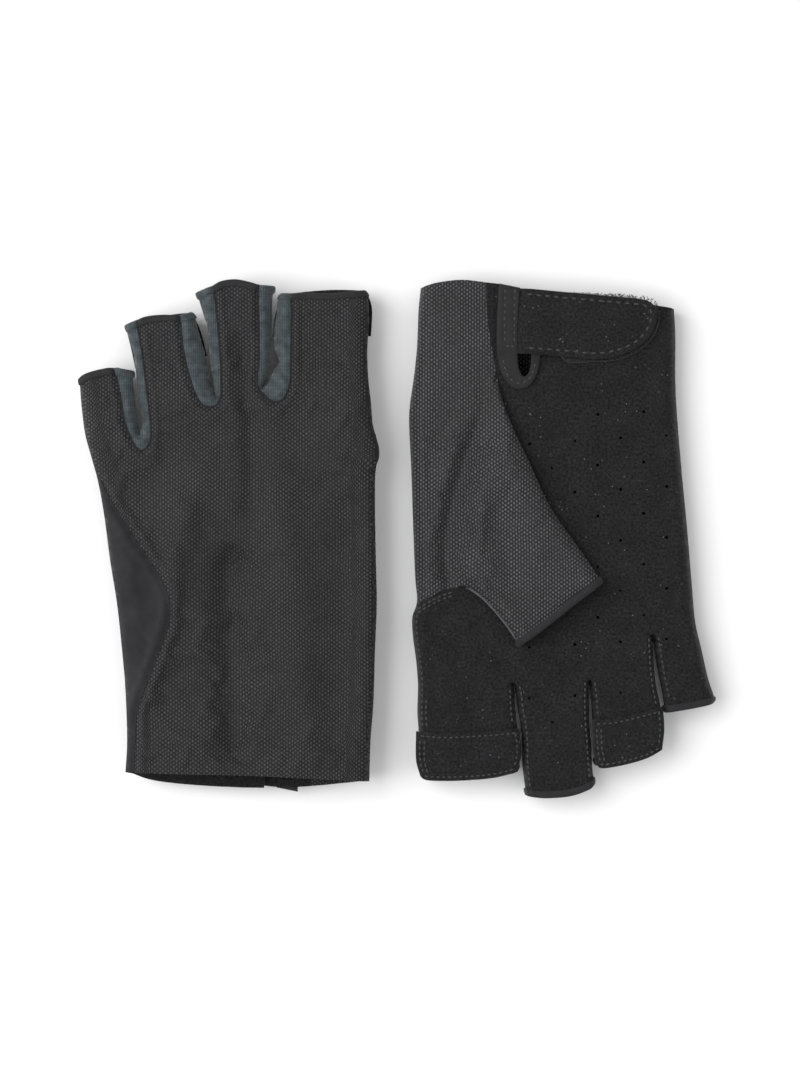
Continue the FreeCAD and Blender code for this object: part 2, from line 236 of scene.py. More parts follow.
def smooth(x):
    """0 up to 0, 1 from 1 on, and a soft step between."""
    x = np.clip(x, 0, 1)
    return x * x * (3 - 2 * x)


def rounded(x):
    """A quarter circle: 0 at 0 and 1 from 1 on."""
    return np.sqrt(1 - (1 - np.clip(x, 0, 1)) ** 2)


def bell(x):
    return np.exp(-x * x)


def ripple(points, size, seed):
    """Soft unevenness between -1 and 1 with features of about that size."""
    draw = np.random.default_rng(seed)
    total = np.zeros(len(points))
    for _ in range(9):
        angle = draw.uniform(0, math.pi)
        wave = 2 * math.pi / (size * draw.uniform(0.7, 1.6))
        phase = draw.uniform(0, 2 * math.pi)
        total += np.sin(wave * (points @ np.array((math.cos(angle), math.sin(angle)))) + phase)
    return total / 5


def fold(points, path, height, width, fade=12.0):
    """A ridge, or a valley where height is below 0, along a path, dying away at its ends."""
    line = curve(path, 3.0)
    distance, foot = nearest(points, [line])
    from_ends = np.minimum(np.linalg.norm(foot - line[0], axis=1), np.linalg.norm(foot - line[-1], axis=1))
    return height * bell(distance / width) * smooth(0.15 + from_ends / fade)


def across_fold(points):
    return (points - FOLD_LOW) @ FOLD_ACROSS


def place(side, points):
    """Points of one glove, in millimetres, to the row frame in metres."""
    p = np.atleast_2d(np.array(points, float))
    if side == "right":
        return np.column_stack([APART + p[:, 0], CUFF_OUT - p[:, 1], p[:, 2]]) * MM
    return np.column_stack([-APART - p[:, 0], p[:, 1] - CUFF_OUT, TALL - p[:, 2]]) * MM


# ---------------------------------------------------------------- the shape of the cloth

LINES = {side: {name: curve(points) for name, points in OUTLINE[side].items()} for side in SIDES}
CLOSED_EDGES = ["radial", "index_far", "middle_near", "middle_far", "ring_near", "ring_far", "little_near", "ulnar"]
SEAM_LINES = {name: curve(points) for name, points in GAP_SEAMS.items()}
SIDE_LINE, FLAP_LINE, TIP_LINE = curve(SIDE_SEAM), curve(FLAP_EDGE), curve(THUMB_TIP)
LOW_LINE, VALLEY_LINE, SUEDE_LINE = curve(THUMB_LOW), curve(VALLEY), curve(SUEDE_SEAM)

# The broad folds of the left glove's back and of the thumb, as arguments of fold()
BACK_FOLDS = [
    ([(66, 101), (69.5, 80), (72.5, 62), (76, 45), (82, 20)], 2.4, 5.5),
    ([(50, 84), (52, 62), (50.5, 35), (50, 4)], -4.4, 6.0),
    ([(47, 158), (46.5, 140), (44.5, 120), (43.5, 102), (46, 88)], -2.3, 4.0),
    ([(36, 112), (33, 85), (29.5, 55), (26, 22), (25, 0)], 2.2, 8.0),
    ([(10, 104), (12, 70), (14, 40), (15, 5)], -1.3, 7.0),
    ([(60, 118), (64, 98), (70, 84)], 0.8, 5.0),
    ([(75, 118), (79, 100), (84, 92)], -0.8, 5.0),
]
THUMB_FOLDS = [
    ([(29, 50), (36, 72), (44, 96)], 0.7, 3.2),
    ([(25, 60), (29, 84), (34, 108)], -0.7, 3.0),
    ([(21, 72), (23, 90), (28, 106)], 0.5, 2.6),
    ([(18.2, 83.6), (15.7, 91.3), (14.6, 98.3), (15, 103.6)], -0.9, 1.0, 4.0),
]
# A seam's groove (depth, width), the puff beside it (height, place, width) and the uneven pull of its
# threads (height, reach, wave, sway, wave of the sway)
GAP_RELIEF = (1.15, 0.75), (0.5, 2.0, 1.1), (0.2, 2.4, 2.3, 1.5, 0.7)
SIDE_RELIEF = (0.95, 0.9), (0.5, 2.4, 1.4), (0.22, 3.0, 1.6, 1.2, 0.45)


def edge_distance(side, points):
    """Distance to the glove's closed edges, and the nearest place on them."""
    return nearest(points, [LINES[side][name] for name in CLOSED_EDGES])


def rounding(points):
    """How far in from an edge the cloth takes to turn flat."""
    return HAND_ROUND + (FINGER_ROUND - HAND_ROUND) * smooth((points[:, 1] - 105) / 25)


def lie(side, points):
    """How much lower the left glove's far side and fingertips rest, as the soft tube sags beside the thumb."""
    if side == "right":
        return np.zeros(len(points))
    return 3.2 * smooth((points[:, 0] - 55) / 50) + 2.0 * smooth((points[:, 1] - 130) / 45)


def seam_relief(points, line, groove, puff, pull):
    distance, foot = nearest(points, [line])
    along = foot[:, 1]
    pulled = pull[0] * bell(distance / pull[1]) * np.sin(along * pull[2] + pull[3] * np.sin(along * pull[4]))
    return puff[0] * bell((distance - puff[1]) / puff[2]) + pulled - groove[0] * bell(distance / groove[1])


def back_relief(side, points):
    """How far the back of the glove stands out from its plain rounded shape."""
    hand = smooth((150 - points[:, 1]) / 20)
    relief = hand * (0.55 * ripple(points, 34, 3) + 0.3 * ripple(points, 13, 5)) + 0.14 * ripple(points, 7, 6)
    for row in BACK_FOLDS if side == "left" else []:
        relief += fold(points, *row)
    for line in SEAM_LINES.values():
        relief += seam_relief(points, line, *GAP_RELIEF)
    return relief + seam_relief(points, SIDE_LINE, *SIDE_RELIEF)


def back_height(side, points):
    distance, _ = edge_distance(side, points)
    turn = rounded(distance / rounding(points))
    relief = back_relief(side, points) * smooth(distance / 3.0)
    top = BACK_LEVEL + (1.2 if side == "left" else 0.6)
    height = EDGE_LEVEL + (top - EDGE_LEVEL) * turn - relief
    return np.maximum(height, OFF_FLOOR) if side == "right" else height + lie(side, points)


def palm_relief(points):
    relief = 0.18 * ripple(points, 26, 11) + 0.07 * ripple(points, 6, 12)
    relief -= 0.5 * bell(nearest(points, [SUEDE_LINE])[0] / 0.7)
    return relief + smooth((points[:, 1] - 130) / 15) * 0.12 * ripple(points, 11, 14)


def palm_height(side, points):
    """The palm's suede, which also lies under the folded thumb."""
    distance, _ = edge_distance(side, points)
    gaps, _ = nearest(points, [LINES[side][name] for name in CLOSED_EDGES[1:-1]])
    turn = rounded(distance / (0.62 * rounding(points))) * rounded((gaps + 0.05) / 1.8)
    turn = np.where(gaps < distance + 0.01, rounded(gaps / 2.0), turn)
    relief = palm_relief(points) * smooth(distance / 3.0)
    return EDGE_LEVEL + (PALM_LEVEL - EDGE_LEVEL) * turn + relief + lie(side, points)


def thumb_edge_height(side, points):
    """The height at which the thumb's knit and its suede meet, round the thumb's free edge."""
    free = smooth((across_fold(points) - 0.3) / 7)
    return palm_height(side, points) + (0.2 + THUMB_EDGE * free) * smooth((points[:, 1] - 26) / 10)


def knit_height(side, points):
    """The knit on the palm's side: the strip along the index side and the thumb's back that grows out of it."""
    base = palm_height(side, points)
    distance, foot = nearest(points, [VALLEY_LINE])
    beyond = np.where(((points - foot) @ FOLD_ACROSS) > 0, distance, -distance)
    started = smooth((points[:, 1] - 26) / 20)
    relief = -1.8 * bell(beyond / 2.6) * started
    relief += 0.6 * bell((beyond + 6) / 3.5) * started
    relief += thumb_relief(points) * smooth((beyond - 3) / 8) * started
    edge, _ = nearest(points, [FLAP_LINE, LOW_LINE])
    plain = base + THUMB_RISE * smooth((beyond + 1.0) / 13) * started + relief * smooth(edge / 2.5)
    t = across_fold(points)
    rim = thumb_edge_height(side, points)
    tube = rim + np.maximum(plain - rim, 1.3 * smooth((points[:, 1] - 26) / 10)) * rounded(edge / 5.5)
    over = smooth((t + 3) / 3.3)
    return plain + (tube - plain) * over


def thumb_relief(points):
    relief = 0.25 * ripple(points, 17, 21) + 0.08 * ripple(points, 6, 22)
    for row in THUMB_FOLDS:
        relief += fold(points, *row)
    return relief


def thumb_floor(side, points):
    """The thumb's suede side, which faces the palm while it is folded."""
    edge, _ = nearest(points, [FLAP_LINE, LOW_LINE])
    base = palm_height(side, points)
    floor = base + 0.2 + 0.6 * smooth((across_fold(points) - CREASE) / 3)
    rim = thumb_edge_height(side, points)
    return rim + (np.minimum(floor, rim) - rim) * rounded(edge / 3.0)


# ---------------------------------------------------------------- meshing

def hex_points(low, high, step):
    """Staggered points that fill a rectangle."""
    rows = []
    for k, v in enumerate(np.arange(low[1], high[1], step * 0.866)):
        us = np.arange(low[0] + (k % 2) * step / 2, high[0], step)
        rows.append(np.column_stack([us, np.full(len(us), v)]))
    return np.vstack(rows)

def span(points, edges):
    """Triangles over points in the plane, all turning the same way, and twice their areas."""
    verts, _, faces, *_ = delaunay_2d_cdt([Vector(p) for p in points], edges, [], 0, 1e-4)
    flat = np.array([(p.x, p.y) for p in verts])
    tris = np.array([f for f in faces if len(f) == 3])
    (ax, ay), (bx, by), (cx, cy) = (flat[tris[:, k]].T for k in range(3))
    area = (bx - ax) * (cy - ay) - (by - ay) * (cx - ax)
    tris[area < 0] = tris[area < 0][:, ::-1]
    return flat, tris, np.abs(area)


def fill_in(lines, outline):
    """Triangles inside an outline, with every line kept as edges, and the triangles' middles."""
    points, edges = [], []
    for line in lines:
        edges += [(len(points) + i, len(points) + i + 1) for i in range(len(line) - 1)]
        points += list(line)
    every = np.vstack(lines)
    grid = hex_points(every.min(0), every.max(0), STEP)
    grid = grid[inside(grid, outline)]
    points += list(grid[nearest(grid, lines)[0] > 0.55 * STEP])
    flat, tris, area = span(points, edges)
    tris = tris[area > 1e-5]
    middle = flat[tris].mean(1)
    keep = inside(middle, outline)
    return flat, tris[keep], middle[keep]


def joined(*parts):
    """One closed polygon out of lines that follow each other."""
    return np.vstack([np.array(part, float).reshape(-1, 2) for part in parts])


def beyond(line):
    """The zone from a line on past the fingertips."""
    return joined(line, (line[-1][0], FAR), (line[0][0], FAR))


def finger_zones(side):
    """The polygon each finger's cloth lies in, above its knuckle, and the lines that cut it from the hand."""
    lines, level = LINES[side], KNUCKLE

    def gap_line(far, near, start):
        """The middle of the gap between two fingers where it starts, and the near finger's edge above."""
        far, near = lines[far], lines[near]
        u, end = far[-1]
        if start > end:
            u = (np.interp(start, far[::-1, 1], far[::-1, 0]) + np.interp(start, near[:, 1], near[:, 0])) / 2
        return joined((u, start), near[near[:, 1] > start])

    def zone(a, b):
        return joined(a, (a[-1][0], FAR), (b[-1][0], FAR), b[::-1])

    im = gap_line("index_far", "middle_near", level["index"])
    mr = gap_line("middle_far", "ring_near", level["middle"])
    rm = gap_line("middle_far", "ring_near", level["ring"])
    rl = gap_line("ring_far", "little_near", level["ring"])
    lr = gap_line("ring_far", "little_near", level["little"])
    zones = {"index": zone(joined((-20, level["index"])), im), "middle": zone(im, mr), "ring": zone(rm, rl),
             "little": zone(lr, joined((130, level["little"])))}
    cuts = [joined(curve([(-6, level["index"]), im[0]]), curve([im[0], mr[0]])[1:]), curve([rm[0], rl[0]]),
            curve([lr[0], (110, level["little"])])]
    for line, near in ((im, "middle_near"), (mr, "ring_near"), (rm, "ring_near"), (lr, "little_near")):
        apex = lines[near][0]
        if apex[1] > line[0][1] + 0.05:
            cuts.append(curve([line[0], apex]))
    return zones, cuts


def glove_loop(side, cuff):
    names = ["radial", "index_tip", "index_far", "middle_near", "middle_tip", "middle_far", "ring_near", "ring_tip",
             "ring_far", "little_near", "little_tip", "ulnar", cuff]
    return [LINES[side][name] for name in names]


HOLE_RADIUS = 0.58


def palm_holes(side):
    """The small punched holes of the palm, in staggered rows that stay clear of all that is sewn on."""
    rows = [(31 + 16 * column + 8 * (row % 2), row) for row in range(14) for column in range(7)]
    points = np.array([(u, 43.5 + 8.9 * row - 0.06 * (u - 63)) for u, row in rows])
    u, v = points.T
    keep = inside(points, joined(*glove_loop(side, "cuff_palm"))) & (edge_distance(side, points)[0] > 4.0)
    for tip, clear in (("index_tip", 20), ("ring_tip", 20), ("middle_tip", 7), ("little_tip", 7)):
        keep &= nearest(points, [LINES[side][tip]])[0] > clear
    keep &= (v >= 48) | ((v >= 40) & (u >= 58))
    keep &= (v < 128) | (v > 140)
    keep &= (across_fold(points) > 5) | (v > 112)
    return points[keep]


def circle(centre, radius, count=10):
    turn = np.linspace(0, 2 * math.pi, count + 1)
    ring = np.column_stack([np.cos(turn), np.sin(turn)]) * radius + centre
    ring[-1] = ring[0]
    return ring


def flap_crossing(depth):
    """Where the thumb's long edge is that far beyond the fold."""
    t = across_fold(FLAP_LINE)
    k = np.argmax(t > depth)
    mix = (depth - t[k - 1]) / (t[k] - t[k - 1])
    return FLAP_LINE[k - 1] + (FLAP_LINE[k] - FLAP_LINE[k - 1]) * mix


def fold_cut():
    """The line where the thumb's knit starts to turn, from the palm seam to the root of the thumb."""
    line = curve([FOLD_LOW + FOLD_ACROSS * FOLD_START + FOLD_ALONG * s for s in (-30, 0, 30, 60, 87)])
    first, last = flap_crossing(FOLD_START), LOW_LINE[-1]
    past = inside(line, joined(FLAP_LINE, (120, 102), (120, -20), (23.8, -20)))
    v = line[:, 1]
    return joined(first, line[~past & (v > -3) & (v > first[1] + 0.6) & (v < last[1] - 0.8)], last)


# The thumb's seams: where its knit turns, where its suede leaves the palm's, and its free edges
FOLD_CUT = fold_cut()
CREASE_LINE = curve([flap_crossing(CREASE), *(FOLD_LOW + FOLD_ACROSS * CREASE + FOLD_ALONG * s for s in (40, 70, 84)),
                     LOW_LINE[-3]])
FLAP_V, TURN_V, CREASE_V = FLAP_LINE[:, 1], FOLD_CUT[0][1], CREASE_LINE[0][1]
SEAM_TOP = joined(FLAP_LINE[FLAP_V < TURN_V], FOLD_CUT[0])
SEAM_MID = joined(FOLD_CUT[0], FLAP_LINE[(FLAP_V > TURN_V) & (FLAP_V < CREASE_V)], CREASE_LINE[0])
FLAP_FREE = joined(CREASE_LINE[0], FLAP_LINE[FLAP_V > CREASE_V])
LOW_FREE, LOW_END = LOW_LINE[:-2], LOW_LINE[-3:]
SLIT_LINE = curve([(35.5, -6), (35.1, 8), (34.9, 22), (35.3, 28), (37.2, 30.6), (39.2, 28), (39.7, 20), (39.9, 8),
                   (40, -6)])


class Surface:
    """All the outer cloth of one glove as one triangle mesh with a label on every face."""

    def __init__(self, side):
        self.side = side
        self.points, self.cloth, self.faces, self.labels = [], [], [], []
        self.count = 0

    def add(self, flat, tris, labels, height, outward):
        """Adds a sheet. outward is 1 if its outside faces the palm's way and -1 if it faces the back's."""
        used, tris = np.unique(tris, return_inverse=True)
        tris = tris.reshape(-1, 3)
        flat = flat[used]
        w = height(self.side, flat)
        self.points.append(np.column_stack([flat, w]))
        self.cloth.append(unrolled(self.side, flat) if outward < 0 or height is palm_height else flat)
        self.faces.append((tris if outward > 0 else tris[:, ::-1]) + self.count)
        self.labels += list(labels)
        self.count += len(flat)

    def finish(self):
        points = np.vstack(self.points)
        cloth = np.vstack(self.cloth)
        faces = np.vstack(self.faces)
        self.corner_cloth = cloth[faces]
        _, first, merged = np.unique(np.round(points, 2), axis=0, return_index=True, return_inverse=True)
        self.points = points[first]
        self.faces = merged.reshape(-1)[faces]
        good = (self.faces[:, 0] != self.faces[:, 1]) & (self.faces[:, 1] != self.faces[:, 2])
        good &= self.faces[:, 0] != self.faces[:, 2]
        self.faces = self.faces[good]
        self.corner_cloth = self.corner_cloth[good]
        self.labels = np.array(self.labels)[good]
        self.update()

    def update(self):
        a, b, c = (self.points[self.faces[:, k]] for k in range(3))
        cross = np.cross(b - a, c - a)
        normals = np.zeros_like(self.points)
        for k in range(3):
            np.add.at(normals, self.faces[:, k], cross)
        self.normals = unit(normals)


def unrolled(side, flat):
    """Cloth coordinates that don't crowd where the cloth turns down at the glove's outer edges."""
    distance, foot = nearest(flat, [LINES[side]["radial"], LINES[side]["ulnar"]])
    reach = rounding(flat)
    near = np.minimum(distance, reach)
    arc = reach * np.arccos(near / reach) * 0.9
    out = (foot - flat) / (distance[:, None] + 1e-6)
    return flat + out * ((arc - (reach - near)) * smooth(distance / 0.5))[:, None]


SIM_SCALE = 0.01  # the simulation's units per millimetre
SIM_FRAMES = 20
SIM_GRAVITY = 0.05
SIM_REACH = 1.2  # the most that the simulation may move the cloth, in millimetres
SIM_CLOTH = dict(quality=6, mass=0.25, tension_stiffness=12, compression_stiffness=12, shear_stiffness=4,
                 bending_stiffness=1.2, tension_damping=4, compression_damping=4, shear_damping=3,
                 bending_damping=0.8, air_damping=1.5, shrink_min=-0.035)

WRAP = 1.2  # how far the suede shows round on the back's index side


def inset(line, distance, polygon):
    """A line moved into the polygon."""
    along = np.gradient(line, axis=0)
    move = unit(np.column_stack([along[:, 1], -along[:, 0]])) * distance
    half = len(line) // 2
    return line + move if inside((line + move)[half:half + 1], polygon)[0] else line - move


def finger_of(points, zones):
    """Each point's finger, or hand."""
    names = np.full(len(points), "hand", dtype=object)
    for name, zone in zones.items():
        names[inside(points, zone)] = name
    return names


def make_surface(side):
    surface = Surface(side)
    zones, cuts = finger_zones(side)

    # Back
    loop = glove_loop(side, "cuff_back")
    outline = joined(*loop)
    radial = LINES[side]["radial"]
    wrap = inset(radial[radial[:, 1] > 111], WRAP, outline)
    flat, tris, middle = fill_in(loop + list(SEAM_LINES.values()) + [SIDE_LINE, wrap] + cuts, outline)
    kind = np.full(len(middle), "knit", dtype=object)
    for line in SEAM_LINES.values():
        kind[inside(middle, beyond(line))] = "gusset"
    kind[inside(middle, joined(SIDE_LINE, (85, -20), (140, -20), (140, 112.4)))] = "side"
    wrapped = joined(wrap, (wrap[-1][0], FAR), (-20, FAR), (-20, wrap[0][1]))
    kind[inside(middle, wrapped) & (kind == "knit")] = "suede"
    surface.add(flat, tris, finger_of(middle, zones) + " " + kind, back_height, -1)

    # Palm, without the mouth of the thumb, the wrist slit and the punched holes
    loop = glove_loop(side, "cuff_palm")
    holes = palm_holes(side)
    seams = [SEAM_TOP, SEAM_MID, CREASE_LINE, FOLD_CUT, LOW_END, SUEDE_LINE, SLIT_LINE] + cuts
    flat, tris, middle = fill_in(loop + seams + [circle(c, HOLE_RADIUS) for c in holes], joined(*loop))
    keep = np.sqrt(((middle[:, None] - holes) ** 2).sum(2)).min(1) >= HOLE_RADIUS
    keep &= ~inside(middle, joined(SEAM_MID, CREASE_LINE, LOW_END, FOLD_CUT[::-1])) & ~inside(middle, SLIT_LINE)
    tris, middle = tris[keep], middle[keep]
    strip = inside(middle, joined((23.8, -20), SEAM_TOP, FOLD_CUT, SUEDE_LINE, (-20, 110.6), (-20, -20)))
    fingers = finger_of(middle, zones)
    surface.add(flat, tris[~strip], fingers[~strip] + " suede", palm_height, 1)
    surface.add(flat, tris[strip], fingers[strip] + " knit", knit_height, 1)

    # Thumb: its knit, then its suede
    for kind, lines, height, outward in (
        ("knit", [FOLD_CUT, SEAM_MID, FLAP_FREE, TIP_LINE, LOW_LINE], knit_height, 1),
        ("suede", [CREASE_LINE, FLAP_FREE, TIP_LINE, LOW_FREE], thumb_floor, -1),
    ):
        flat, tris, _ = fill_in(lines, joined(lines[0][::-1], *lines[1:]))
        surface.add(flat, tris, ["thumb " + kind] * len(tris), height, outward)
    surface.finish()
    return surface


def held_share(surface):
    """How firmly each point is held in the cloth simulation: 1 at seams and under other pieces, 0 in open cloth."""
    side, flat = surface.side, surface.points[:, :2]
    lines, v = LINES[side], flat[:, 1]

    def clear(of, start, run):
        """0 within start of the lines, and 1 from run further on."""
        return (nearest(flat, of)[0] - start) / run

    def used(*labels):
        """The points of the faces with these labels."""
        found = np.zeros(len(flat), bool)
        found[surface.faces[np.isin(surface.labels, labels)]] = True
        return found

    front = surface.points[:, 2] > EDGE_LEVEL + lie(side, flat)
    seams = np.where(front, clear([FLAP_LINE, LOW_LINE, SUEDE_LINE, VALLEY_LINE], 0.6, 5),
                     clear([*SEAM_LINES.values(), SIDE_LINE], 0.4, 4))
    share = 1 - smooth(np.minimum.reduce([
        clear([lines[name] for name in CLOSED_EDGES], 1.0, 6),
        clear([lines[finger + "_tip"] for finger in FINGERS], 3.5, 5),
        clear([lines["cuff_back"], lines["cuff_palm"]] + finger_zones(side)[1], 0.6, 5),
        seams,
    ]))
    flap = inside(flat, joined(FLAP_LINE, TIP_LINE, LOW_LINE, (11, 60), (20, 20)))
    covered = flap & (across_fold(flat) > -6) & ~used("thumb knit", "thumb suede")
    share[front & ((v < 50) | (v > KNUCKLE["index"] + BEND_RUN) | covered) | used("thumb suede")] = 1
    return share


def settle(surface):
    """Lets the cloth buckle and sag between its seams in a short simulation, and keeps a measured part of it."""
    share = held_share(surface)
    upright = (1, 1, -1 if surface.side == "left" else 1)
    start = surface.points * upright
    mesh = bpy.data.meshes.new("settling")
    mesh.from_pydata([tuple(p) for p in start * SIM_SCALE], [], [tuple(map(int, f)) for f in surface.faces])
    obj = linked(mesh)
    group = obj.vertex_groups.new(name="held")
    for level in range(11):
        chosen = np.nonzero(np.round(share * 10) == level)[0]
        if len(chosen):
            group.add([int(k) for k in chosen], level / 10, "REPLACE")
    cloth = obj.modifiers.new("cloth", "CLOTH")
    for key, value in SIM_CLOTH.items():
        setattr(cloth.settings, key, value)
    cloth.settings.vertex_group_mass = group.name
    cloth.settings.effector_weights.gravity = SIM_GRAVITY
    cloth.collision_settings.use_collision = False
    cloth.point_cache.frame_start = 1
    cloth.point_cache.frame_end = SIM_FRAMES
    scene = bpy.context.scene
    for step in range(1, SIM_FRAMES + 1):
        scene.frame_set(step)
    settled = obj.evaluated_get(bpy.context.evaluated_depsgraph_get()).data
    moved = np.empty(start.size, np.float32)
    settled.vertices.foreach_get("co", moved)
    shift = (moved.reshape(-1, 3) / SIM_SCALE - start) * upright
    bpy.data.objects.remove(obj)
    bpy.data.meshes.remove(mesh)
    scene.frame_set(1)
    size = np.linalg.norm(shift, axis=1, keepdims=True)
    shift *= SIM_REACH * np.tanh(size / SIM_REACH) / (size + 1e-9) * smooth((1 - share) * 2)[:, None]
    surface.points += shift
    surface.points[:, 2] = np.clip(surface.points[:, 2], OFF_FLOOR, TALL - OFF_FLOOR)
    surface.update()


def new_mesh(name, side, verts, faces, coords, material):
    """A smooth mesh out of points in millimetres, with a cloth place at every face corner."""
    mesh = bpy.data.meshes.new(name)
    mesh.from_pydata([tuple(p) for p in place(side, verts)], [], [list(map(int, face)) for face in faces])
    mesh.uv_layers.new(name="cloth").data.foreach_set("uv", coords.reshape(-1))
    mesh.polygons.foreach_set("use_smooth", [True] * len(mesh.polygons))
    mesh.materials.append(material)
    return mesh


def linked(mesh):
    obj = bpy.data.objects.new(mesh.name, mesh)
    bpy.context.collection.objects.link(obj)
    return obj


def build_smooth(name, side, verts, faces, coords, material):
    """An object whose faces all look outwards. coords has a cloth place for every vertex."""
    mesh = new_mesh(name, side, verts, faces, coords[np.concatenate([np.array(f) for f in faces])], material)
    shell = bmesh.new()
    shell.from_mesh(mesh)
    bmesh.ops.recalc_face_normals(shell, faces=shell.faces)
    shell.to_mesh(mesh)
    shell.free()
    return linked(mesh)


def cut_piece(surface, name, label, material):
    """The faces with a label as a piece of cloth with an inside, an outside and edges."""
    mask = np.isin(surface.labels, label)
    cloth = surface.corner_cloth[mask]
    used, local = np.unique(surface.faces[mask], return_inverse=True)
    local = local.reshape(-1, 3)
    count = len(used)
    outer, normal = surface.points[used], surface.normals[used]
    faces = [tuple(f) for f in local]
    normals = [normal[f] for f in local]
    coords = list(cloth)
    for f, c in zip(local, cloth):
        faces.append(tuple(f[::-1] + count))
        normals.append(-normal[f[::-1]])
        coords.append(c[::-1])
    owner = {(f[i], f[(i + 1) % 3]): (k, i, (i + 1) % 3) for k, f in enumerate(local) for i in range(3)}
    for (a, b), (k, i, j) in owner.items():
        if (b, a) not in owner:
            faces.append((b, a, a + count, b + count))
            normals.append(np.array([unit(np.cross(outer[b] - outer[a], normal[a]))] * 4))
            coords.append(cloth[k][[j, i, i, j]])
    if surface.side == "right":
        faces, normals, coords = ([corners[::-1] for corners in every] for every in (faces, normals, coords))
    verts = np.vstack([outer, outer - normal * CLOTH])
    mesh = new_mesh(name, surface.side, verts, faces, np.concatenate(coords), material)
    turned = np.concatenate(normals) * ((1, -1, 1) if surface.side == "right" else (-1, 1, -1))
    mesh.normals_split_custom_set([tuple(n) for n in turned])
    return linked(mesh)


# ---------------------------------------------------------------- materials

class Nodes:
    """Small helper to write a material's node tree. A single number can stand for a grey."""

    def __init__(self, name, roughness, sheen=0.0, specular=0.3):
        self.material = bpy.data.materials.new(name)
        self.material.use_nodes = True
        self.tree = self.material.node_tree
        self.shader = self.tree.nodes["Principled BSDF"]
        for key, value in (("Roughness", roughness), ("Specular IOR Level", specular), ("Sheen Weight", sheen),
                           ("Sheen Roughness", 0.45)):
            self.shader.inputs[key].default_value = value
        self.uv = self.add("ShaderNodeUVMap", {}, uv_map="cloth").outputs[0]

    def add(self, kind, inputs, **values):
        """A node with its settings, and with a number or a link for each of these inputs."""
        node = self.tree.nodes.new(kind)
        for key, value in values.items():
            setattr(node, key, value)
        for key, value in inputs.items():
            if isinstance(value, (int, float, tuple)):
                node.inputs[key].default_value = value
            else:
                self.tree.links.new(value, node.inputs[key])
        return node

    def math(self, kind, a, b=0.0):
        return self.add("ShaderNodeMath", {0: a, 1: b}, operation=kind).outputs[0]

    def times(self, a, b):
        return self.math("MULTIPLY", a, b)

    def plus(self, a, b):
        return self.math("ADD", a, b)

    def half(self, out):
        """Turns -1 to 1 into 0 to 1."""
        return self.plus(self.times(out, 0.5), 0.5)

    def noise(self, scale, detail):
        inputs = {"Scale": scale, "Detail": detail, "Vector": self.uv}
        return self.add("ShaderNodeTexNoise", inputs).outputs["Fac"]

    def ramp(self, factor, low, high, start=0.3, end=0.7):
        node = self.add("ShaderNodeValToRGB", {"Fac": factor})
        for k, (at, colour) in enumerate(((start, low), (end, high))):
            node.color_ramp.elements[k].position = at
            node.color_ramp.elements[k].color = (*(colour if isinstance(colour, tuple) else (colour,) * 3), 1)
        return node.outputs["Color"]

    def mix(self, factor, a, b, kind="MIX"):
        return self.add("ShaderNodeMix", {0: factor, 6: a, 7: b}, data_type="RGBA", blend_type=kind).outputs[2]

    def tint(self, colour, shade):
        return self.mix(1.0, colour, shade, "MULTIPLY")

    def wave(self, axis, period):
        """cos along one cloth axis, with the period in millimetres."""
        parts = self.add("ShaderNodeSeparateXYZ", {0: self.uv})
        return self.math("COSINE", self.times(parts.outputs[axis], 2 * math.pi / period))

    def done(self, colour, height, depth, strength=1.0):
        """Ends the material with its colour and its relief, whose depth is in millimetres."""
        bump = self.add("ShaderNodeBump", {"Strength": strength, "Distance": depth * MM, "Height": height})
        self.tree.links.new(colour, self.shader.inputs["Base Color"])
        self.tree.links.new(bump.outputs[0], self.shader.inputs["Normal"])
        return self.material


def knit_material(name, shade):
    """Dark stretch knit with rows of small raised dots. shade scales its colour as painted light: below 1 it paints
    shade, above 1 light.
    """
    n = Nodes(name, 0.7, sheen=0.06)
    dots = n.plus(n.times(n.wave(0, 1.92), n.wave(1, 1.40)), n.times(n.wave(0, 0.96), 0.5))
    lit = n.plus(n.times(dots, 0.444), 0.333)
    colour = n.ramp(lit, (0.0016, 0.0016, 0.0019), (0.098, 0.098, 0.104), 0.06, 1.0)
    colour = n.tint(colour, n.ramp(n.noise(0.045, 4), 0.78 * shade, 1.16 * shade))
    colour = n.tint(colour, n.ramp(n.noise(1.3, 3), 0.40, 1.60))
    return n.done(colour, n.plus(lit, n.times(n.noise(3.1, 2), 0.35)), 0.22)


def suede_material():
    """Near-black synthetic suede: a short nap, a fine grain and a few specks of lint."""
    n = Nodes("palm_suede", 0.88, sheen=0.10, specular=0.15)
    colour = n.ramp(n.noise(0.10, 3), (0.0098, 0.0098, 0.0104), (0.0142, 0.0142, 0.0152))
    colour = n.tint(colour, n.ramp(n.noise(1.1, 4), 0.30, 1.75))
    cells = n.add("ShaderNodeTexVoronoi", {"Scale": 0.42, "Vector": n.uv}, feature="F1")
    specks = n.ramp(cells.outputs["Distance"], 1.0, 0.0, 0.04, 0.11)
    lint = n.times(n.tint(specks, n.ramp(n.noise(0.13, 1), 0.0, 1.0, 0.47, 0.56)), 0.8)
    colour = n.mix(lint, colour, (0.19, 0.19, 0.19, 1))
    return n.done(colour, n.plus(n.noise(3.4, 4), n.noise(0.9, 3)), 0.14, 0.8)


def gusset_material():
    n = Nodes("gusset_knit", 0.8, sheen=0.3, specular=0.2)
    weave = n.times(n.half(n.wave(0, 0.62)), n.half(n.wave(1, 0.5)))
    colour = n.ramp(weave, (0.034, 0.043, 0.047), (0.098, 0.119, 0.128), 0.0, 1.0)
    colour = n.tint(colour, n.ramp(n.noise(0.35, 5), (0.50, 0.51, 0.52), 1.25))
    return n.done(colour, n.plus(weave, n.noise(2.8, 2)), 0.08, 0.6)


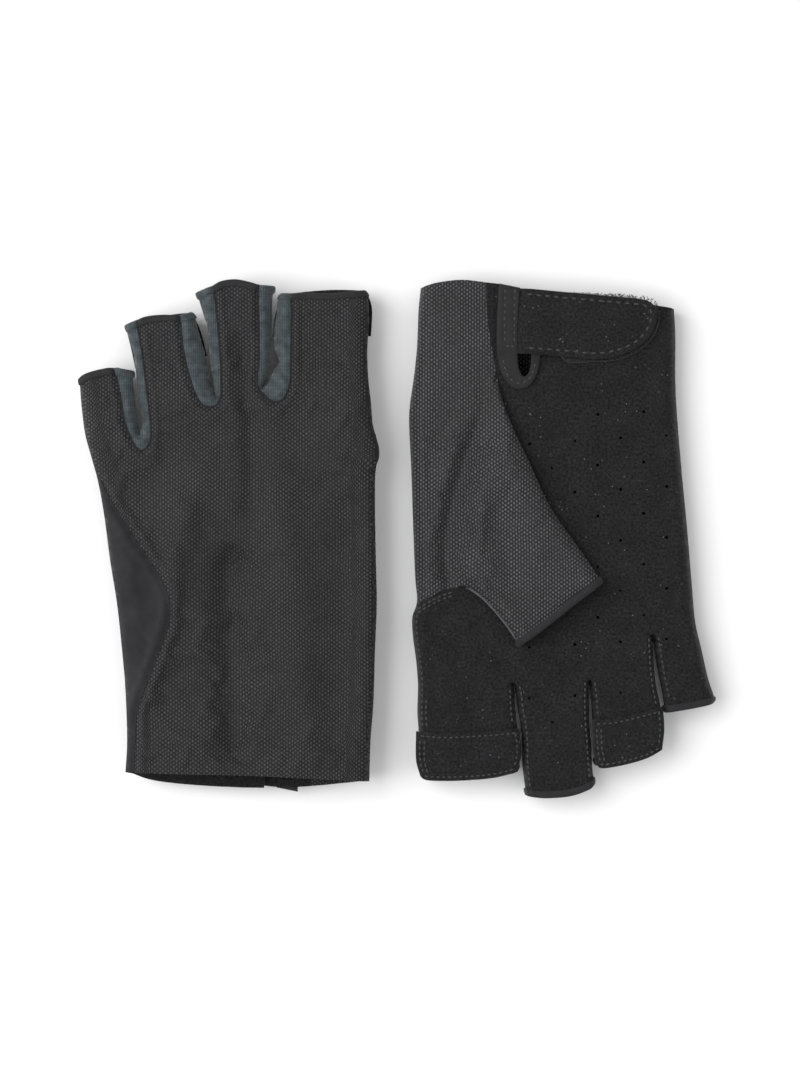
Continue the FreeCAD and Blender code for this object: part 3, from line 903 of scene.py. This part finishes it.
def woven_material(name, low, high, looks, periods, patches, darkest, grain, depth):
    """Fine plain cloth or tape, a little uneven."""
    n = Nodes(name, *looks)
    lit = n.half(n.times(n.wave(0, periods[0]), n.wave(1, periods[1])))
    colour = n.tint(n.ramp(lit, low, high, 0.2, 0.9), n.ramp(n.noise(*patches), darkest, 1.2))
    return n.done(colour, n.plus(lit, n.noise(*grain)), depth, 0.7)


def tape_material(name, low, high, sheen=0.08):
    return woven_material(name, low, high, (0.75, sheen, 0.3), (0.5, 0.9), (0.3, 3), 0.8, (2.5, 2), 0.08)


def pile_material(name, high):
    n = Nodes(name, 0.9, sheen=0.2, specular=0.2)
    fuzz = n.noise(1.7, 6)
    return n.done(n.ramp(fuzz, 0.004, high, 0.35), n.plus(fuzz, n.noise(5, 3)), 0.35)


def thread_material():
    n = Nodes("sewing_thread", 0.5, sheen=0.1, specular=0.5)
    return n.done(n.ramp(n.noise(1.3, 2), (0.030, 0.030, 0.032), (0.062, 0.062, 0.066)), n.wave(0, 0.3), 0.05, 0.6)


# Lighter and darker copies of one knit: the left glove's copy is painted darker, as shade, and the right glove's
# lighter, as light.
LIT_AND_SHADED_KNIT = {"left": knit_material("back_knit_left_painted_shade", 0.58), "right": knit_material("back_knit_right", 1.03)}
SUEDE = suede_material()
GUSSET = gusset_material()
SIDE_CLOTH = woven_material("side_cloth", (0.012, 0.012, 0.0135), (0.026, 0.026, 0.028), (0.8, 0.12, 0.2),
                            (0.66, 0.66), (0.10, 5), 0.78, (2.2, 3), 0.10)
HEM = tape_material("hem_tape", (0.007, 0.007, 0.008), (0.022, 0.022, 0.024))
BINDING = tape_material("binding_tape", (0.007, 0.007, 0.0075), (0.020, 0.020, 0.021))
PIPING = tape_material("piping", (0.045, 0.045, 0.047), (0.110, 0.110, 0.114), 0.1)
LOOP_PILE = pile_material("loop_pile", (0.040, 0.040, 0.042))
HOOK_PILE = pile_material("hook_pile", (0.035, 0.035, 0.035))
THREAD = thread_material()


# ---------------------------------------------------------------- joining pieces to the frame

STRAP_ROOT = [(34.2, 11, 14), (39.0, 11, 14)]


def dress(obj, side, body, slot, *nodes):
    """Makes a piece ride on the hand, only bakes the transform of a piece of any other body, and hides its CAD nodes.
    slot is not used.
    """
    hand = side + "_hand"
    if body == "hand":
        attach(obj, hand)
    else:
        middle = FOLD_LOW + FOLD_ALONG * 50
        bends = {"strap": STRAP_ROOT, "thumb": [(*(middle + FOLD_ACROSS * t), 13) for t in (FOLD_START, FOLD_END)]}
        for finger in FINGERS:
            bends[finger] = [(50, KNUCKLE[finger], 12), (50, KNUCKLE[finger] + BEND_RUN, 12)]
        start, end = place(side, bends[body])
        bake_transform(obj)
    if nodes:
        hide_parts(*[side + "_" + node for node in nodes])


def make_cloth(surface):
    side = surface.side

    def cut(name, labels, material, body, slot, node):
        dress(cut_piece(surface, side + "_" + name, labels, material), side, body, slot, node)

    cut("back_knit", ["hand knit"], LIT_AND_SHADED_KNIT[side], "hand", "back_knit", "back_panel")
    cut("side_cloth", ["hand side", "little side"], SIDE_CLOTH, "hand", "back_knit", "side_panel")
    cut("palm_suede", ["hand suede"], SUEDE, "hand", "palm_suede", "palm_panel")
    cut("crotch_cloth", ["hand gusset"], GUSSET, "hand", "gusset_knit", "crotch_gussets")
    for body in FINGERS + ["thumb"]:
        cut(body + "_knit", [body + " knit"], LIT_AND_SHADED_KNIT[side], body, "back_knit", body + "_back")
        cut(body + "_suede", [body + " suede"], SUEDE, body, "palm_suede", body + "_palm")
        if body in FINGERS:
            cut(body + "_side_cloth", [body + " gusset"], GUSSET, body, "gusset_knit", body + "_gusset")


# ---------------------------------------------------------------- hems, patches and stitches

HEM_PROFILE = [(2.5, -0.1), (2.45, 0.35), (1.9, 0.55), (1.0, 0.6), (0.3, 0.5), (-0.1, 0.1), (-0.1, -0.5),
               (0.3, -1.0), (1.2, -1.15), (2.2, -1.05), (2.45, -0.8)]
HEM_POINTS = 44  # on each side of the tube
TUBE_ENDS = {
    "index": ("radial", "index_tip", "index_far"),
    "middle": ("middle_near", "middle_tip", "middle_far"),
    "ring": ("ring_near", "ring_tip", "ring_far"),
    "little": ("little_near", "little_tip", "ulnar"),
}


def along_line(line, distance):
    """The place at a distance along a line."""
    if distance < 0:
        return line[0] + unit(line[0] - line[1]) * -distance
    return sample(line, distance, arc_length(line))[0]


def grid_faces(count, wide, closed=True):
    """Faces between rows of points that close into a ring. The rows are closed too, or open."""
    faces = []
    for i in range(count):
        row, above = i * wide, (i + 1) % count * wide
        for j in range(wide if closed else wide - 1):
            n = (j + 1) % wide
            faces.append((row + j, row + n, above + n, above + j))
    return faces


def hem(side, body, near, tip, far, upper, lower):
    """A folded tape round the open end of a cloth tube. near and far start at the open end."""
    share = (1 - np.cos(np.linspace(0, math.pi, HEM_POINTS))) / 2
    bulge = sample(tip, share, np.linspace(0, 1, len(tip))) - (tip[0] + (tip[-1] - tip[0]) * share[:, None])
    rows, cloth = [], []
    for k, (inward, out) in enumerate(HEM_PROFILE):
        a, b = along_line(near, inward), along_line(far, inward)
        flat = a + (b - a) * share[:, None] + bulge
        direction = unit(b - a)
        loop = np.vstack([np.column_stack([flat, upper(side, flat)]),
                          np.column_stack([flat, lower(side, flat)])[::-1][1:-1]])
        section = np.column_stack([(loop[:, :2] - a) @ direction, loop[:, 2]])
        tangent = unit(np.roll(section, -1, axis=0) - np.roll(section, 1, axis=0))
        outward = np.column_stack([tangent[:, 1], -tangent[:, 0]])
        if ((section - section.mean(0)) * outward).sum() < 0:
            outward = -outward
        wobble = 0.25 * np.sin(np.arange(len(loop)) * 1.7 + k)
        outward *= out * (1 + (wobble if out > 0.3 else 0 * wobble))[:, None]
        rows.append(loop + np.column_stack([outward[:, :1] * direction, outward[:, 1]]))
        cloth.append(np.column_stack([section[:, 0], np.full(len(loop), inward + (0 if out > -0.2 else 6))]))
    name = side + "_" + body + "_hem_tape"
    return build_smooth(name, side, np.vstack(rows), grid_faces(len(rows), len(loop)), np.vstack(cloth), HEM)


def closed(loop):
    return np.vstack([loop, loop[:1]])


def offset_loop(edge, distance):
    """A closed line moved inwards, with sharp corners left open."""
    along = np.roll(edge, -1, axis=0) - np.roll(edge, 1, axis=0)
    normal = unit(np.column_stack([-along[:, 1], along[:, 0]]))
    x, y = edge.T
    if (x * np.roll(y, -1) - y * np.roll(x, -1)).sum() < 0:
        normal = -normal
    moved = edge + normal * distance
    return moved[(nearest(moved, [closed(edge)])[0] > distance * 0.93) & inside(moved, edge)]


def patch(side, name, outline, top, thick, material, body, slot, node, rim=0.9):
    """A flat piece laid on the glove with rounded edges. top gives the height of its upper face."""
    loop = joined(*outline)
    loop = loop[np.linalg.norm(loop - np.roll(loop, 1, axis=0), axis=1) > 1e-3]
    edge = [closed(loop)]
    rings = np.vstack([ring for ring in (offset_loop(loop, d * rim) for d in (0.2, 0.6, 1.1)) if len(ring) > 8])
    grid = hex_points(loop.min(0), loop.max(0), 1.1)
    grid = grid[inside(grid, loop)]
    points = [loop, rings[nearest(rings, edge)[0] > 0.12], grid[nearest(grid, edge)[0] > rim * 1.1 + 0.35]]
    flat, tris, _ = span(np.vstack(points), [(i, (i + 1) % len(loop)) for i in range(len(loop))])
    used, tris = np.unique(tris[inside(flat[tris].mean(1), loop)], return_inverse=True)
    tris, flat = tris.reshape(-1, 3), flat[used]
    count = len(flat)
    droop = (1 - rounded(nearest(flat, edge)[0] / rim)) * 0.42 * thick
    height = top(side, flat)
    verts = np.vstack([np.column_stack([flat, height - droop]), np.column_stack([flat, height - thick + droop])])
    faces = [tuple(t) for t in tris] + [tuple(t[::-1] + count) for t in tris]
    directed = {(t[i], t[(i + 1) % 3]) for t in tris for i in range(3)}
    faces += [(q, p, p + count, q + count) for p, q in directed if (q, p) not in directed]
    obj = build_smooth(side + "_" + name, side, verts, faces, np.vstack([flat, flat + (0.0, 0.5)]), material)
    dress(obj, side, body, slot, node)


STITCHES = {}  # threads by side, body and kind, each as its two ends, its middle and its radius
# seam_edge beads are dark binding laid along the back's seams: painted shade for the seam grooves.
KINDS = {"stitches": (1, THREAD, "hem_tape"), "seam_edge": (-1, BINDING, "binding_tape"),
         "fuzz": (1, LOOP_PILE, "loop_pile")}
THREAD_PROFILE = ((0.0, 0.25), (0.15, 0.8), (0.5, 1.05), (0.85, 0.8), (1.0, 0.25))
THREAD_SIDES = 6
FUZZ_SEED = 81
FUZZ_COUNT = 520


def stitch_row(side, path, top, pitch=2.0, length=1.25, radius=0.24, body=None, kind="stitches"):
    """Collects the stitches of one seam, which lie along a path on a surface."""
    line = curve(path, 0.4) if len(path) < 30 else np.array(path)
    run = arc_length(line)
    at = np.arange(0.5 * pitch, run[-1] - 0.3 * pitch, pitch)
    if not len(at):
        return
    places = [sample(line, at + shift * length, run) for shift in (-0.5, 0.0, 0.5)]
    owners = finger_of(places[1], finger_zones(side)[0]) if body is None else [body] * len(at)
    for a, m, b, owner in zip(*(np.column_stack([flat, top(side, flat)]) for flat in places), owners):
        STITCHES.setdefault((side, owner, kind), []).append((a, m, b, radius))


def stitch_pieces():
    """One object per body and kind with all its threads, each small, rounded and sunk at both ends."""
    for (side, body, kind), rows in STITCHES.items():
        verts, faces, coords = [], [], []
        facing, material, slot = KINDS[kind]
        for a, m, b, radius in rows:
            along = unit(b - a)
            across = unit(np.cross(along, (0, 0, 1.0)))
            rise = np.cross(across, along) * facing
            base, last = len(verts), len(verts) + THREAD_SIDES * (len(THREAD_PROFILE) - 1)
            for share, scale in THREAD_PROFILE:
                centre = a + (b - a) * share + (m - (a + b) / 2) * 4 * share * (1 - share)
                centre = centre + rise * radius * (0.9 * math.sin(math.pi * share) - 0.25)
                for k in range(THREAD_SIDES):
                    turn = k * 2 * math.pi / THREAD_SIDES
                    offset = across * math.cos(turn) * 1.25 + rise * math.sin(turn) * 0.9
                    verts.append(centre + offset * radius * scale)
                    coords.append((share * 1.2 + len(coords) * 0.37, k * 0.2))
            for start in range(base, last, THREAD_SIDES):
                for k in range(THREAD_SIDES):
                    n = (k + 1) % THREAD_SIDES
                    faces.append((start + k, start + n, start + THREAD_SIDES + n, start + THREAD_SIDES + k))
            faces += [tuple(range(base, base + THREAD_SIDES))[::-1], tuple(range(last, last + THREAD_SIDES))]
        obj = build_smooth("_".join((side, body, kind)), side, np.array(verts), faces, np.array(coords), material)
        dress(obj, side, body, slot)


def finger_lines(side, finger):
    """The finger's two closed edges from its open end, and the line of the open end."""
    near, tip, far = (LINES[side][name] for name in TUBE_ENDS[finger])
    return near[::-1], tip, far


def make_hems(side):
    turn = 1 if side == "right" else -1
    for finger in FINGERS:
        obj = hem(side, finger, *finger_lines(side, finger), back_height, palm_height)
        obj.data.materials.append(GUSSET)
        centre = np.array([polygon.center for polygon in obj.data.polygons]) / MM
        flat = np.column_stack([turn * centre[:, 0] - APART, CUFF_OUT - turn * centre[:, 1]])
        height = centre[:, 2] if side == "right" else TALL - centre[:, 2]
        back = height < EDGE_LEVEL + lie(side, flat)
        for line in SEAM_LINES.values():
            for k in np.nonzero(inside(flat, beyond(line)) & back)[0]:
                obj.data.polygons[int(k)].material_index = 1
        dress(obj, side, finger, "hem_tape", finger + "_hem")
    obj = hem(side, "thumb", FLAP_FREE[::-1], TIP_LINE, LOW_LINE, knit_height, thumb_floor)
    dress(obj, side, "thumb", "hem_tape", "thumb_hem")


PULLER_WIDE = 16.0


def make_puller(side, finger):
    """The suede tab across a fingertip, and its stitches."""
    near, tip, far = finger_lines(side, finger)
    out = np.array((0.9 if finger == "index" else 0.3, 0))
    over = 0.9 if side == "right" else 0.1
    tip_near, tip_far = tip[0] - out + (0.3, -0.1), tip[-1] + (0.5, -0.2)
    low_near, low_far = along_line(near, PULLER_WIDE) - out, along_line(far, PULLER_WIDE - 0.5) + (0.5, 0)

    def bowed(a, b, *between):
        return curve([a, *(a + (b - a) * share + (0, rise) for share, rise in between), b])

    lower_edge = bowed(low_near, low_far, (0.3, 1.0), (0.68, 0.7))
    upper_edge = bowed(tip_far, tip_near, (0.25, over + 0.8), (0.6, over + 1.2), (0.92, over + 0.6))
    near_edge = curve([tip_near, near[5] - out * 1.2, low_near])
    far_edge = curve([low_far, far[6] + (0.6, 0), tip_far])
    outline = [lower_edge, far_edge, upper_edge, near_edge]
    loop = joined(*outline)

    def top(side, points):
        edge, _ = nearest(points, [near_edge, far_edge])
        rows, _ = nearest(points, [loop])
        height = PALM_LEVEL + 1.5 + lie(side, points) - 1.6 * (1 - rounded(edge / 4.5))
        return height + 0.16 * ripple(points, 7, 31) - 0.28 * bell((rows - 1.4) / 0.6)

    patch(side, finger + "_puller_suede", outline, top, 1.2, SUEDE, finger, "palm_suede", finger + "_puller")
    for line, shift in ((lower_edge, (0, 1.4)), (upper_edge, (0, -1.4)), (near_edge, (1.5, 0)), (near_edge, (3.0, 0)),
                        (far_edge, (-1.6, 0))):
        stitch_row(side, line[1:-1] + shift, top, body=finger)


STRAP = [(33.9, -0.6), (40, -0.2), (51.4, 0.9), (68.2, 2.4), (77.7, 3.3), (81.4, 4.6), (83.3, 7.7),
    (82.2, 14), (77.2, 19.8), (69.6, 23.2), (61.9, 24.3), (51.4, 23.4), (43, 22.7), (33.9, 22.2)]
BINDING_OUTER = [(28.3, -2.2), (27.6, 10), (27.6, 21.7), (29.0, 28.6), (31.8, 33.1), (35.3, 34.8),
    (39.3, 33.2), (42, 28.3), (42.9, 22), (43.1, 10), (43.2, 0.3)]
BINDING_INNER = [(39.9, 0.2), (39.8, 10), (39.6, 21), (39.1, 27.8), (37.2, 30.4), (35.4, 27.8), (34.8, 22),
    (35, 10), (35.7, -0.7)]
LOOP_PAD = [(50, 2.2), (70, 3.6), (81, 4.8), (84.4, 8), (83.2, 15), (78, 20.9), (70.5, 24.3), (62, 25.2),
    (50, 23.4)]
HOOK_PAD = [(52, 4.5), (66, 5.2), (78.5, 6.5), (79, 14), (74, 19), (64, 21.4), (52, 20.6)]


def closed_curve(points, step=STEP):
    """A smooth closed line."""
    line = curve(points[-2:] + points + points[:2], step)
    start = np.linalg.norm(line - np.array(points[0]), axis=1)
    half = len(line) // 2
    first = int(start[:half].argmin())
    last = half + int(start[half:].argmin())
    return line[first:last]


def binding_top(side, points):
    lifted = 1.1 * smooth((25 - points[:, 1]) / 5) * smooth((38 - points[:, 0]) / 3)
    rows = np.minimum(np.abs(points[:, 0] - 30.5), np.abs(points[:, 0] - 33.9))
    groove = np.where((points[:, 1] < 20) & (points[:, 0] < 36), 0.3 * bell(rows / 0.6), 0)
    return PALM_LEVEL + 1.5 + lifted + lie(side, points) + 0.12 * ripple(points, 5, 41) - groove


STRAP_LINE = curve(STRAP)
CUFF_SHIFT = {"left": -3.0, "right": 0.0}


def strap_top(side, points):
    edge, _ = nearest(points - (0, CUFF_SHIFT[side]), [STRAP_LINE])
    rise = 14.1 + 1.7 * smooth((points[:, 0] - 35) / 5) + 0.35 * ripple(points, 30, 51) + 0.07 * ripple(points, 5, 52)
    return rise - 0.33 * bell((edge - 2.0) / 0.7) + lie(side, points)


def pad_top(side, points):
    return PALM_LEVEL + 1.0 + 0.25 * ripple(points, 2.5, 61) + lie(side, points)


def hook_top(side, points):
    return strap_top(side, points) - 1.25 + 0.12 * ripple(points, 2.2, 62)


def make_closure(side):
    """The binding round the wrist slit, the strap and its two pads. They start at the cuff's own edge."""
    shift = np.array((0, CUFF_SHIFT[side]))
    for outline, name, top, thick, material, body, slot, node in (
        (joined(curve(BINDING_OUTER), curve(BINDING_INNER)), "slit_tape", binding_top, 1.6, BINDING, "hand",
         "binding_tape", "slit_binding"),
        (STRAP_LINE, "closing_strap", strap_top, 1.3, SUEDE, "strap", "palm_suede", "strap_tab"),
        (closed_curve(LOOP_PAD), "loop_pile", pad_top, 1.1, LOOP_PILE, "hand", "loop_pile", "loop_pad"),
        (closed_curve(HOOK_PAD), "hook_pile", hook_top, 0.7, HOOK_PILE, "strap", "hook_pile", "hook_pad"),
    ):
        rim = 0.8 if body == "strap" and material is SUEDE else 0.9
        patch(side, name, [outline + shift], top, thick, material, body, slot, node, rim)
    inner = offset_loop(STRAP_LINE, 2.0) + shift
    stitch_row(side, inner[inner[:, 0] > 37.2], strap_top, pitch=3.1, length=1.8, radius=0.27, body="strap")
    for u in (30.5, 33.9):
        stitch_row(side, [(u, -0.6), (u - 0.2, 10), (u - 0.2, 19.4)], binding_top, pitch=2.4, body="hand")
    stitch_row(side, [(30.4, 19.8), (34, 19.8)], binding_top, pitch=1.8, body="hand")
    stitch_row(side, [(29.6, 24), (31.5, 30.2), (35.3, 32.7), (39, 31), (40.7, 27), (41.3, 24)], binding_top,
               pitch=2.4, body="hand")


def make_fuzz(side):
    """The loose loops of the pile that show past the strap's free end."""
    draw = np.random.default_rng(FUZZ_SEED)
    rim = curve(STRAP[2:12], 0.3)
    for _ in range(FUZZ_COUNT):
        k = draw.integers(1, len(rim) - 1)
        along = rim[k + 1] - rim[k - 1]
        out = np.array((along[1], -along[0])) / np.linalg.norm(along)
        share = math.sin(math.pi * k / len(rim)) ** 0.6
        start = rim[k] + out * draw.uniform(-0.6, 0.9) * share + (0, CUFF_SHIFT[side])
        turn = math.atan2(out[1], out[0]) + draw.uniform(-1.2, 1.2)
        reach = draw.uniform(0.5, 1.3) * share
        end = start + np.array((math.cos(turn), math.sin(turn))) * reach
        low = PALM_LEVEL + 0.6 + draw.uniform(0, 0.9) + lie(side, start[None])[0]
        a, b = np.append(start, low), np.append(end, low - draw.uniform(-0.3, 0.5))
        middle = (a + b) / 2 + (0, 0, draw.uniform(0.1, 0.45))
        STITCHES.setdefault((side, "hand", "fuzz"), []).append((a, middle, b, draw.uniform(0.06, 0.11)))


def make_seam_shade(side):
    """Dark beads along the seams on the back, round the gussets and along the side cloth: painted shade for the dark
    seam grooves.
    """
    outline = joined(*glove_loop(side, "cuff_back"))
    for line in SEAM_LINES.values():
        line = line[inside(line, outline)]
        stitch_row(side, line[1:-1], back_height, pitch=0.85, length=1.25, radius=0.40, kind="seam_edge")
    line = SIDE_LINE[inside(SIDE_LINE, outline) & (edge_distance(side, SIDE_LINE)[0] > 1.0)]
    stitch_row(side, line, back_height, pitch=0.9, length=1.3, radius=0.26, kind="seam_edge")


def make_piping(side):
    """The thin folded edge along the thumb's lower side, where its knit meets its suede."""
    line = curve(LOW_LINE[2:-4], 0.7)
    wide = len(line)
    spine = np.column_stack([line, thumb_edge_height(side, line) + 0.25])
    along = unit(np.gradient(spine, axis=0))
    across = unit(np.cross(along, (0, 0, 1.0)))
    rise = np.cross(across, along)
    size = 0.42 * rounded(np.minimum(np.arange(wide), np.arange(wide)[::-1]) / 4 + 0.05)
    size = (size * (1 + 0.1 * ripple(line, 3, 71)))[:, None]
    turns = np.linspace(0, 2 * math.pi, 9)[:-1]
    rows = [spine + (across * math.cos(turn) + rise * math.sin(turn)) * size for turn in turns]
    cloth = [np.column_stack([line.sum(1) * 0.7, np.full(wide, 0.3 * k)]) for k in range(len(rows))]
    ends = tuple(k * wide for k in range(len(rows))), tuple(k * wide + wide - 1 for k in range(len(rows)))[::-1]
    faces = grid_faces(len(rows), wide, closed=False) + list(ends)
    obj = build_smooth(side + "_thumb_piping", side, np.vstack(rows), faces, np.vstack(cloth), PIPING)
    dress(obj, side, "thumb", "hem_tape")


def make_seam_stitches(side):
    lines = LINES[side]
    outline = joined(*glove_loop(side, "cuff_palm"))
    for shift in (1.4, 2.7):
        stitch_row(side, SUEDE_LINE + (0.3, shift), palm_height, body="hand")
    radial = lines["radial"]
    for low, shift in ((113, 1.6), (142, 3.0)):
        edge = radial[(radial[:, 1] > low) & (radial[:, 1] < 153)]
        stitch_row(side, edge + (shift, 0), palm_height)
    ends = {"index_far": 17, "middle_near": 3, "middle_far": 3, "ring_near": 17, "ring_far": 15, "little_near": 3}
    for name, stop in ends.items():
        line = inset(lines[name], 1.7, outline)
        tip = lines[name][0] if name.endswith("far") else lines[name][-1]
        stitch_row(side, line[np.linalg.norm(line - tip, axis=1) > stop], palm_height)


def declare_sheets(side):
    stacks = [["back_knit", "palm_suede", "thumb_suede", "thumb_knit"], ["side_cloth"]]
    stacks += [[finger + "_knit", finger + "_suede"] for finger in FINGERS]
    for stack in stacks + [["closing_strap"]]:
        for name in stack if side == "right" else stack[::-1]:
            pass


# ---------------------------------------------------------------- floor, lights and camera

def make_stage():
    bpy.ops.mesh.primitive_plane_add(size=6.0, location=(0, 0, -0.0003))
    floor = bpy.context.object
    floor.name = "floor"
    paper = Nodes("floor_paper", 0.9, specular=0.1)
    colour = paper.ramp(paper.noise(0.8, 2), 0.93, 0.95, 0.0, 1.0)
    paper.tree.links.new(colour, paper.shader.inputs["Base Color"])
    floor.data.materials.append(paper.material)

    world = bpy.data.worlds.new("studio")
    bpy.context.scene.world = world
    world.use_nodes = True
    background = world.node_tree.nodes["Background"]
    background.inputs[0].default_value = (1, 1, 1, 1)
    background.inputs[1].default_value = 0.66

    for name, place_at, size, energy in (
        ("key", (-0.80, 0.14, 1.0), 1.1, 14.6),
        ("fill", (0.9, -0.2, 1.1), 1.0, 2.0),
    ):
        light = bpy.data.lights.new(name, "AREA")
        light.size = size
        light.energy = energy
        lamp = bpy.data.objects.new(name, light)
        lamp.location = place_at
        lamp.rotation_euler = (-Vector(place_at)).to_track_quat("-Z", "Y").to_euler()
        bpy.context.collection.objects.link(lamp)

    camera = bpy.data.cameras.new("camera")
    view = bpy.data.objects.new("camera", camera)
    bpy.context.collection.objects.link(view)
    distance = 1.2
    view.location = (0.0007, 0.0002, distance + 0.012)
    camera.lens = 36.0 * distance / 0.37345
    bpy.context.scene.camera = view
    bpy.context.scene.view_settings.view_transform = "Standard"


make_stage()
for side in SIDES:
    surface = make_surface(side)
    settle(surface)
    make_cloth(surface)
    make_hems(side)
    make_puller(side, "index")
    make_puller(side, "ring")
    make_closure(side)
    make_piping(side)
    make_seam_shade(side)
    make_fuzz(side)
    make_seam_stitches(side)
    declare_sheets(side)
stitch_pieces()
